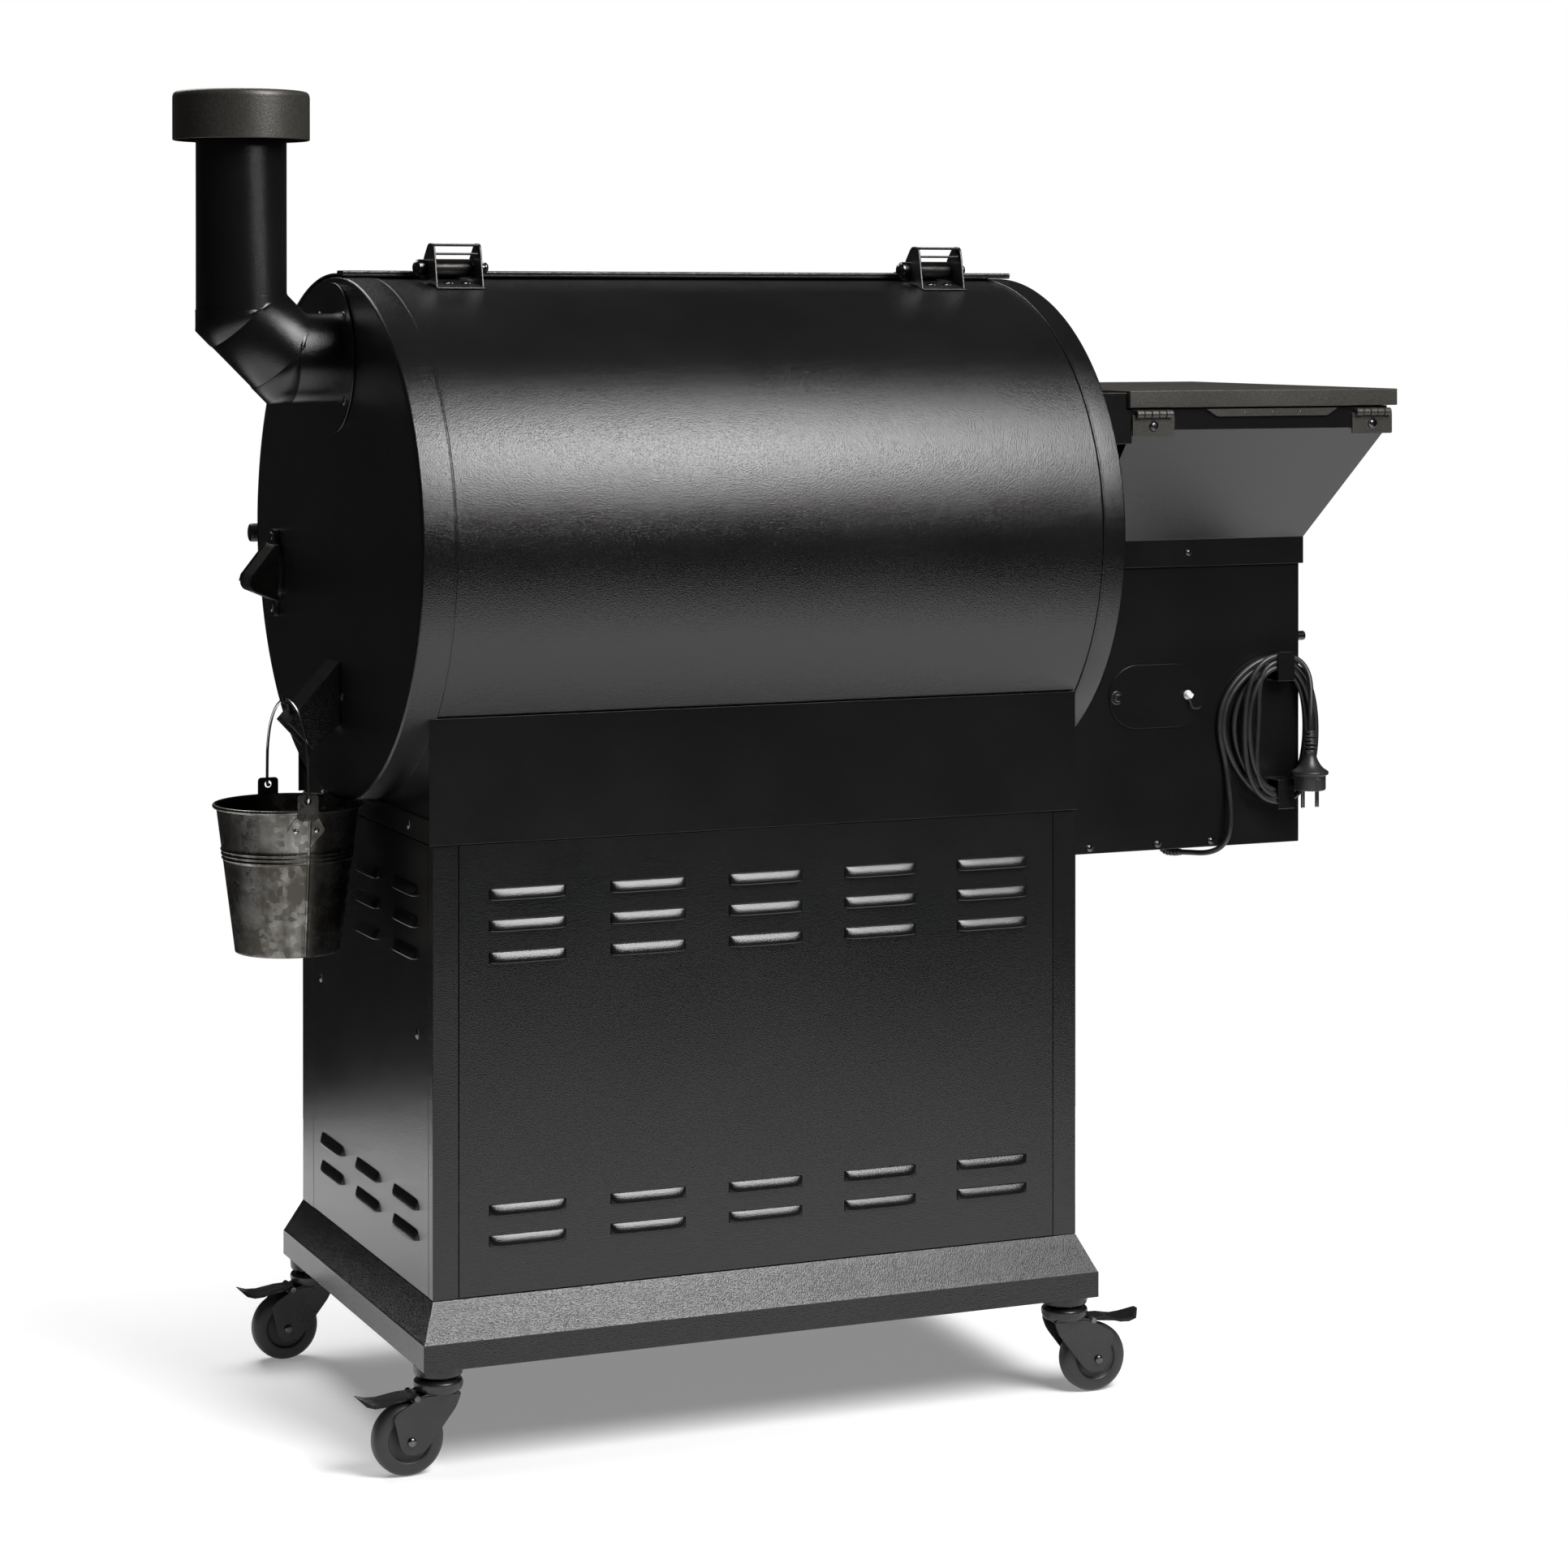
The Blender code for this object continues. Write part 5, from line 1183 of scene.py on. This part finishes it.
def skirt():
    """The flared base: a folded lip, a sheet below and four bearing cups, and the frame that stands on it."""
    x, y = LIP_X, LIP_Y
    rings = [(x - 0.0022, y - 0.0022, LIP_LOW), (x - 0.0006, y - 0.0006, LIP_LOW), (x, y, LIP_LOW + 0.0006),
             (x, y, LIP_TOP - 0.0008), (x - 0.0007, y - 0.0009, LIP_TOP), (CAB_X, CAB_Y, CAB_LOW),
             (CAB_X - 0.002, CAB_Y - 0.002, CAB_LOW), (x - 0.003, y - 0.003, LIP_TOP - 0.001),
             (x - 0.0022, y - 0.0022, LIP_TOP - 0.003)]
    shapes = [skin([rectangle(-wide, wide, -deep, deep, z) for wide, deep, z in rings], closed=True)]
    shapes.append(box(-x + 0.0024, x - 0.0024, -y + 0.0024, y - 0.0024, LIP_LOW + 0.0002, LIP_LOW + 0.002))
    cup = [(0.0057, 0.0995), (0.019, 0.0995), (0.0232, 0.1004), (0.0252, 0.1024), (0.026, 0.106),
           (0.026, LIP_LOW + 0.0001), (0.0057, LIP_LOW + 0.0001)]
    for side in (-1, 1):
        for end in (-1, 1):
            shapes.append(turned("z", (side * CASTER_X, end * CASTER_Y, 0), cup, 40, ring=True))
    piece("base_tray", merged(shapes), BODY_COAT, "cart", ["base_skirt"], bevel=0.0003)
    carry("cabinet_floor", CART_COAT, 0.0004)
    for node in ("left_rear_post", "right_rear_post", "left_front_post", "right_front_post", "cradle_frame"):
        carry(node, CART_COAT, 0.0007)


def caster(side, end, name):
    """A swivel caster: raceway, pressed fork, axle nut, wheel with a hub disc, and a brake pedal."""
    x = side * CASTER_X
    y = end * CASTER_Y
    swivel = name + "_swivel"

    def out(distance):
        return x + side * distance

    race = [(0.015, 0.0835), (0.0225, 0.0845), (0.0248, 0.087), (0.0258, 0.09), (0.0262, 0.093),
            (0.0258, 0.0955), (0.024, 0.0975), (0.0215, 0.0985), (0.0205, 0.099)]
    leg = [(-0.021, 0.086), (-0.015, 0.07), (0.016, 0.03), (0.027, 0.0235), (0.041, 0.025), (0.046, 0.033),
           (0.053, 0.064), (0.05, 0.069), (0.03, 0.08), (0.02, 0.086)]
    shapes = [turned("z", (x, y, 0), race, 48)]
    for s in (-0.0162, 0.0162):
        outline = rounded([(out(a), z) for a, z in leg], 0.006)
        shapes.append(prism(outline, "y", y + s - 0.001, y + s + 0.001))
    crown = [(-0.019, 0.0845), (0.019, 0.0845), (0.032, 0.08), (0.033, 0.0782), (0.018, 0.0825),
             (-0.019, 0.0825)]
    shapes.append(prism([(out(a), z) for a, z in crown], "y", y - 0.0172, y + 0.0172))
    piece(name + "_fork", merged(shapes), BLACK_STEEL, swivel, [name + "_caster_fork"], bevel=0.0007)
    axle = (out(0.034), y, AXLE_Z)
    pin = [(0.0018, -0.0208), (0.0042, -0.02), (0.0046, -0.0185), (0.0046, -0.0172), (0.003, -0.017),
           (0.003, 0.017), (0.0046, 0.0172), (0.0046, 0.0185), (0.0042, 0.02), (0.0018, 0.0208)]
    small = [(0.003, -0.0186), (0.0034, -0.0176), (0.0014, -0.0174), (0.0014, 0.0174), (0.0034, 0.0176),
             (0.003, 0.0186)]
    pivot = (out(0.028), y, 0.082)
    king = rod("z", (x, y, 0.098), 0.0053, 0.016, 20)
    piece(name + "_pins", merged([turned("y", axle, pin, 28), turned("y", pivot, small, 20), king]),
          BLACK_ZINC, swivel)
    half = [(0.0048, -0.0143), (0.0098, -0.0143), (0.0104, -0.0136), (0.0106, -0.01), (0.0116, -0.0088),
            (0.0218, -0.0088), (0.0226, -0.0104), (0.0236, -0.0118), (0.0256, -0.0122), (0.03, -0.0118),
            (0.034, -0.0108), (0.0366, -0.0086), (0.0378, -0.005), (0.038, -0.002)]
    profile = half + [(radius, -d) for radius, d in reversed(half)]
    piece(name + "_tyre", turned("y", axle, profile, 72, ring=True), TYRE, name + "_wheel",
          [name + "_caster_wheel"])
    blade = [(0.024, 0.0848), (0.044, 0.0842), (0.064, 0.0796), (0.076, 0.0802), (0.0895, 0.087),
             (0.09, 0.0864), (0.082, 0.079), (0.073, 0.0762), (0.062, 0.0768), (0.044, 0.0812),
             (0.024, 0.0822)]

    def half_width(distance):
        return 0.004 if distance > 0.085 else 0.0168 if distance > 0.05 else 0.012

    rings = [[(out(a), y + s * half_width(a), z) for a, z in blade] for s in (-1, 1)]
    cam = rod("y", (pivot[0], y - 0.012, pivot[2]), 0.0038, 0.024, 24)
    shoe = [(0.03, 0.08), (0.062, 0.079), (0.06, 0.0764), (0.042, 0.0784)]
    shoe = prism(rounded([(out(a), z) for a, z in shoe], 0.002), "y", y - 0.009, y + 0.009)
    piece(name + "_pedal", merged([skin(rings), cam, shoe]), BLACK_STEEL, name + "_brake",
          [name + "_caster_pedal"],
          bevel=0.0004)


panels()
doors()
skirt()
for side_sign, side_name in ((-1, "left"), (1, "right")):
    for end_sign, end_name in ((-1, "front"), (1, "rear")):
        caster(side_sign, end_sign, end_name + "_" + side_name)


# Hopper.


def hopper_bin():
    """Upright band, taper, collar and funnel, with the bridge to the drum."""

    def ring(x0, x1, y0, y1, z, inset=0.0):
        return rectangle(x0 + inset, x1 - inset, y0 + inset, y1 - inset, z)

    band = (BIN_LEFT, BIN_RIGHT, BIN_FRONT, BIN_REAR)
    neck = (BASE_LEFT - 0.0045, BIN_RIGHT, BIN_FRONT - 0.002, BASE_REAR + 0.0035)
    collar = (BASE_LEFT - 0.0045, BASE_RIGHT + 0.0025, BIN_FRONT - 0.0035, BASE_REAR + 0.0035)
    slot = (-0.612, -0.508, DRUM_Y - 0.0135, DRUM_Y + 0.0135)
    rings = [ring(*band, BIN_TOP), ring(*band, BIN_BAND), ring(*neck, BIN_TAPER),
             ring(*collar, BIN_TAPER - 0.0005)]
    rings += [ring(*collar, BIN_LOW), ring(*collar, BIN_LOW, SHEET), ring(*collar, BIN_TAPER - 0.004, SHEET)]
    rings += [ring(*neck, BIN_TAPER - 0.0045, 0.006), ring(*slot, 0.76, -0.0015), ring(*slot, 0.76)]
    rings += [ring(*neck, BIN_TAPER - 0.001, 0.008), ring(*band, BIN_BAND, 0.0025),
              ring(*band, BIN_TOP, 0.0025)]
    piece("hopper_shell", skin(rings, closed=True), CART_COAT, "cart", ["hopper_bin"], bevel=0.0009)
    bridge = [(BIN_RIGHT - 0.001, 1.06), (CAP_LEFT - 0.001, 1.06), (CAP_LEFT - 0.001, 1.118),
              (-0.4417, 1.118), (-0.4417, 1.0985), (BIN_RIGHT - 0.001, 1.0985)]
    piece("hopper_bridge", prism(bridge, "y", -0.2, BIN_REAR - 0.001), CART_COAT, "cart", bevel=0.001)
    screws("collar_screws", [(-0.583, BASE_REAR + 0.0035, 0.928)], (0, 1, 0), "cart", 0.0028)


def hopper_hinges():
    """Two bronze butt hinges with knuckled barrels, and the stop strip between them."""
    leaves = []
    for x in (-0.76, -0.474):
        plate = rounded([(x - 0.0265, 1.0685), (x + 0.0265, 1.0685), (x + 0.0265, 1.0925),
                         (x - 0.0265, 1.0925)],
                        0.002)
        leaves.append(prism(plate, "y", BIN_REAR - 0.0005, BIN_REAR + 0.002))
        for k in range(5):
            start = x - 0.023 + k * 0.0093
            radius = 0.0046 if k % 2 == 0 else 0.0044
            leaves.append(turned("x", (start, HOPPER_HINGE_Y - 0.004, HOPPER_HINGE_Z - 0.003),
                                 [(radius - 0.0006, 0.0002), (radius, 0.0007), (radius, 0.0084),
                                  (radius - 0.0006, 0.0089)], 28))
    stop = rounded([(-0.713, 1.0985), (-0.542, 1.0985), (-0.556, 1.09), (-0.7, 1.09)], 0.0015)
    leaves.append(prism(stop, "y", BIN_REAR - 0.001, BIN_REAR + 0.0025))
    piece("hopper_hinge_leaves", merged(leaves), BRONZE, "cart", bevel=0.0004)
    screws("hopper_hinge_screws", [(x, BIN_REAR + 0.0019, 1.08) for x in (-0.76, -0.474)], (0, 1, 0), "cart",
           0.0042)
    dots = [aimed(dome(0.0012), (x, BIN_REAR + 0.0024, 1.0945), (0, 1, 0)) for x in (-0.664, -0.6275, -0.591)]
    piece("stop_strip_dots", merged(dots), BLACK_ZINC, "cart")


def hopper_base():
    """The lower housing, and on it a cover with its clip and strap, bolts, screws, a peg, and dark strips of
    painted shade for the side vents.
    """
    carry("hopper_base", CART_COAT, 0.0009)
    face = BASE_REAR
    left, right, middle, half = -0.604, -0.48, 0.762, 0.037
    outline = []
    for x, start in ((right - half, -90), (left + half, 90)):
        for i in range(31):
            turn = math.radians(start + 6 * i)
            outline.append((x + half * math.cos(turn), middle + half * math.sin(turn)))
    plate = prism(outline, "y", face + GAP, face + 0.0016)
    piece("cleanout_plate", plate, CART_COAT, "cleanout_cover", ["cleanout_cover"], bevel=0.0004)
    bolts("cleanout_pivot", [(-0.49, face + 0.0014, middle)], (0, 1, 0), "cleanout_cover", 0.0052)
    clip = [turned("y", (-0.583, 0, middle), [(0.0052, face + 0.0014), (0.0056, face + 0.0026),
                                               (0.0044, face + 0.0046), (0.0024, face + 0.0062),
                                               (0.001, face + 0.0066)], 28)]
    clip.append(prism(rounded([(-0.5885, middle + 0.001), (-0.581, middle + 0.0045), (-0.577, middle + 0.002),
                               (-0.585, middle - 0.0045)], 0.002), "y", face + 0.005, face + 0.008))
    piece("cleanout_clip", merged(clip), NYLON, "cleanout_cover", bevel=0.0003)
    strap = smooth([(-0.5835, face + 0.004, middle - 0.005), (-0.5845, face + 0.006, middle - 0.009),
                    (-0.588, face + 0.006, middle - 0.015), (-0.596, face + 0.005, middle - 0.016),
                    (-0.599, face + 0.0034, middle - 0.014)], 0.0012)
    piece("cleanout_strap", swept(strap, 0.0009, 12), PLASTIC, "cleanout_cover")
    places = [(x, face + 0.0001, 0.5895) for x in (-0.455, -0.544, -0.615)]
    screws("housing_low_screws", places, (0, 1, 0), "cart", 0.0032)
    bolts("housing_bolt", [(-0.42, face + 0.0001, 0.643)], (0, 1, 0), "cart", 0.0044)
    peg = [(0.005, -0.0172), (0.0062, -0.016), (0.0066, -0.014), (0.0066, -0.009), (0.006, -0.008),
           (0.005, -0.0078), (0.005, 0.001)]
    piece("side_peg", turned("x", (BASE_LEFT, 0.06, 0.8245), peg, 32), PLASTIC, "cart")
    # Dark strips on the housing's side: painted shade standing in for the shaded vent slots.
    vents = []
    for row in range(5):
        z = 0.65 + row * 0.014
        vents.append(prism(rounded([(-0.06, z), (0.04, z), (0.04, z + 0.004), (-0.06, z + 0.004)], 0.002),
                           "x",
                           BASE_LEFT - 0.0004, BASE_LEFT + 0.001))
    piece("side_vent_shade", merged(vents), MARKS_AND_SHADE, "cart")


def controls():
    """The control panel: window, keys, fluted knob with its pointer, and a scale of ticks."""
    carry("control_panel", CART_COAT, 0.0012)
    face = BIN_FRONT - GAP
    piece("display_window", box(-0.674, -0.586, face - 0.0164, face - 0.015, 0.825, 0.869), GLOSS, "cart",
          bevel=0.0005)
    key = [(0.0052, 0.0), (0.0052, -0.0016), (0.0044, -0.0022)]
    keys = [turned("y", (x, face - 0.0182, 0.804), key, 28) for x in (-0.664, -0.642, -0.62, -0.598)]
    piece("panel_keys", merged(keys), PLASTIC, "cart", bevel=0.0003)
    knob_low, knob_high = span("control_knob")
    centre = ((knob_low.x + knob_high.x) / 2, knob_high.y, (knob_low.z + knob_high.z) / 2)
    profile = [(0.019, 0.0), (0.019, -0.003), (0.0178, -0.0042), (0.0172, -0.017), (0.016, -0.0192),
               (0.013, -0.02), (0.002, -0.0196)]
    knob = turned("y", centre, profile, 64)
    flutes = []
    for i in range(12):
        t = 2 * math.pi * i / 12
        flutes.append(rod("y", (centre[0] + 0.0192 * math.cos(t), centre[1] - 0.03,
                                centre[2] + 0.0192 * math.sin(t)),
                          0.0026, 0.0255, 16))
    piece("knob_body", knob, GUNMETAL, "knob", ["control_knob"], cuts=flutes, bevel=0.0003)
    mark = box(centre[0] - 0.001, centre[0] + 0.001, centre[1] - 0.0204, centre[1] - 0.0194,
               centre[2] + 0.004,
               centre[2] + 0.0145)
    piece("knob_mark", mark, NYLON, "knob")
    # The panel leans back towards its top, so each tick lies as deep as the panel is at its height.
    ticks = []
    for i in range(11):
        t = math.radians(225 - 27 * i)
        tick = box(0.0225, 0.0265 if i % 5 == 0 else 0.025, -0.0005, 0.0005, 0.0, 0.0006)
        swung(tick, (1, 0, 0), (math.cos(t), math.sin(t), 0))
        lean = -0.0178 + 0.098 * (centre[2] + 0.0245 * math.sin(t) - 0.834)
        ticks.append(aimed(tick, (centre[0], face + lean + 0.0004, centre[2]), (0, -1, 0)))
    piece("knob_scale", merged(ticks), NYLON, "cart")


hopper_bin()
hopper_hinges()
carry("hopper_lid", BRONZE, 0.0014)
hopper_base()
controls()


# Inner parts.

for grate in ("left_cooking_grate", "right_cooking_grate"):
    carry(grate, ENAMEL, 0.0012)
carry("upper_rack", WIRE, 0.001)
for part in ("fire_pot", "heat_baffle", "grease_tray", "auger_tube", "auger_screw"):
    carry(part, STEEL)
carry("auger_motor", BEZEL, 0.0008)
carry("combustion_fan", PLASTIC)
carry("fan_wheel", ZINC)


# Studio.

FLOOR_R = 1.75
FLOOR_Y = 0.3
FLOOR_RIM = 1.05
FLOOR_GLOW = 0.24


def area_light(name, place, target, size, power, glossy=True):
    """A softbox of a width and a height that faces a target."""
    data = bpy.data.lights.new(name, "AREA")
    data.shape = "RECTANGLE"
    data.size = size[0]
    data.size_y = size[1]
    data.energy = power
    light = linked(name, data)
    light.location = place
    light.rotation_euler = (Vector(target) - Vector(place)).to_track_quat("-Z", "Y").to_euler()
    light.visible_glossy = glossy


def stage_piece(name, shape, look):
    made = meshed(name, shape, [look])
    return made


def floor():
    """A round white sheet under the grill. Near its rim it glows, so that it runs into the backdrop."""
    pale = bpy.data.materials.new("pale_floor")
    pale.use_nodes = True
    tree = pale.node_tree
    shader = tree.nodes["Principled BSDF"]
    shader.inputs["Base Color"].default_value = (0.88, 0.88, 0.88, 1.0)
    shader.inputs["Roughness"].default_value = 0.9
    shader.inputs["Specular IOR Level"].default_value = 0.0
    shader.inputs["Emission Color"].default_value = (1.0, 1.0, 1.0, 1.0)
    place = tree.nodes.new("ShaderNodeTexCoord").outputs["Object"]
    reach = tree.nodes.new("ShaderNodeVectorMath")
    reach.operation = "LENGTH"
    tree.links.new(place, reach.inputs[0])
    glow = spread(tree, reach.outputs["Value"], FLOOR_RIM, FLOOR_R, FLOOR_GLOW, 0.8)
    tree.links.new(glow, shader.inputs["Emission Strength"])
    sheet = bmesh.new()
    bmesh.ops.create_circle(sheet, cap_ends=True, segments=128, radius=FLOOR_R)
    made = stage_piece("floor", sheet, pale)
    made.location = (0.1, FLOOR_Y, 0.0)


def backdrop():
    """A white shell all round that the camera sees and that lights nothing."""
    white = bpy.data.materials.new("white_backdrop")
    white.use_nodes = True
    tree = white.node_tree
    tree.nodes.remove(tree.nodes["Principled BSDF"])
    glow = tree.nodes.new("ShaderNodeEmission")
    tree.links.new(glow.outputs["Emission"], tree.nodes["Material Output"].inputs["Surface"])
    shell = bmesh.new()
    bmesh.ops.create_icosphere(shell, subdivisions=4, radius=40.0)
    made = stage_piece("backdrop", shell, white)
    made.visible_diffuse = False
    made.visible_glossy = False
    made.visible_transmission = False
    made.visible_shadow = False


def studio():
    """A large softbox high on the camera's side, a weaker one in front, and a bank overhead."""
    area_light("softbox", (-0.85, 2.4, 3.05), (0.1, 0.35, 1.05), (1.6, 2.05), 165.0)
    area_light("front_softbox", (0.7, -2.3, 3.1), (0.1, -0.3, 0.9), (1.4, 1.4), 32.0)
    area_light("overhead", (0.2, -0.8, 3.1), (0.2, -0.4, 0.0), (2.6, 2.6), 80.0, False)
    floor()
    backdrop()
    world = bpy.data.worlds.new("studio")
    world.use_nodes = True
    dim = world.node_tree.nodes["Background"]
    dim.inputs["Color"].default_value = (0.02, 0.02, 0.02, 1.0)
    bpy.context.scene.world = world
    bpy.context.scene.view_settings.view_transform = "Standard"


studio()
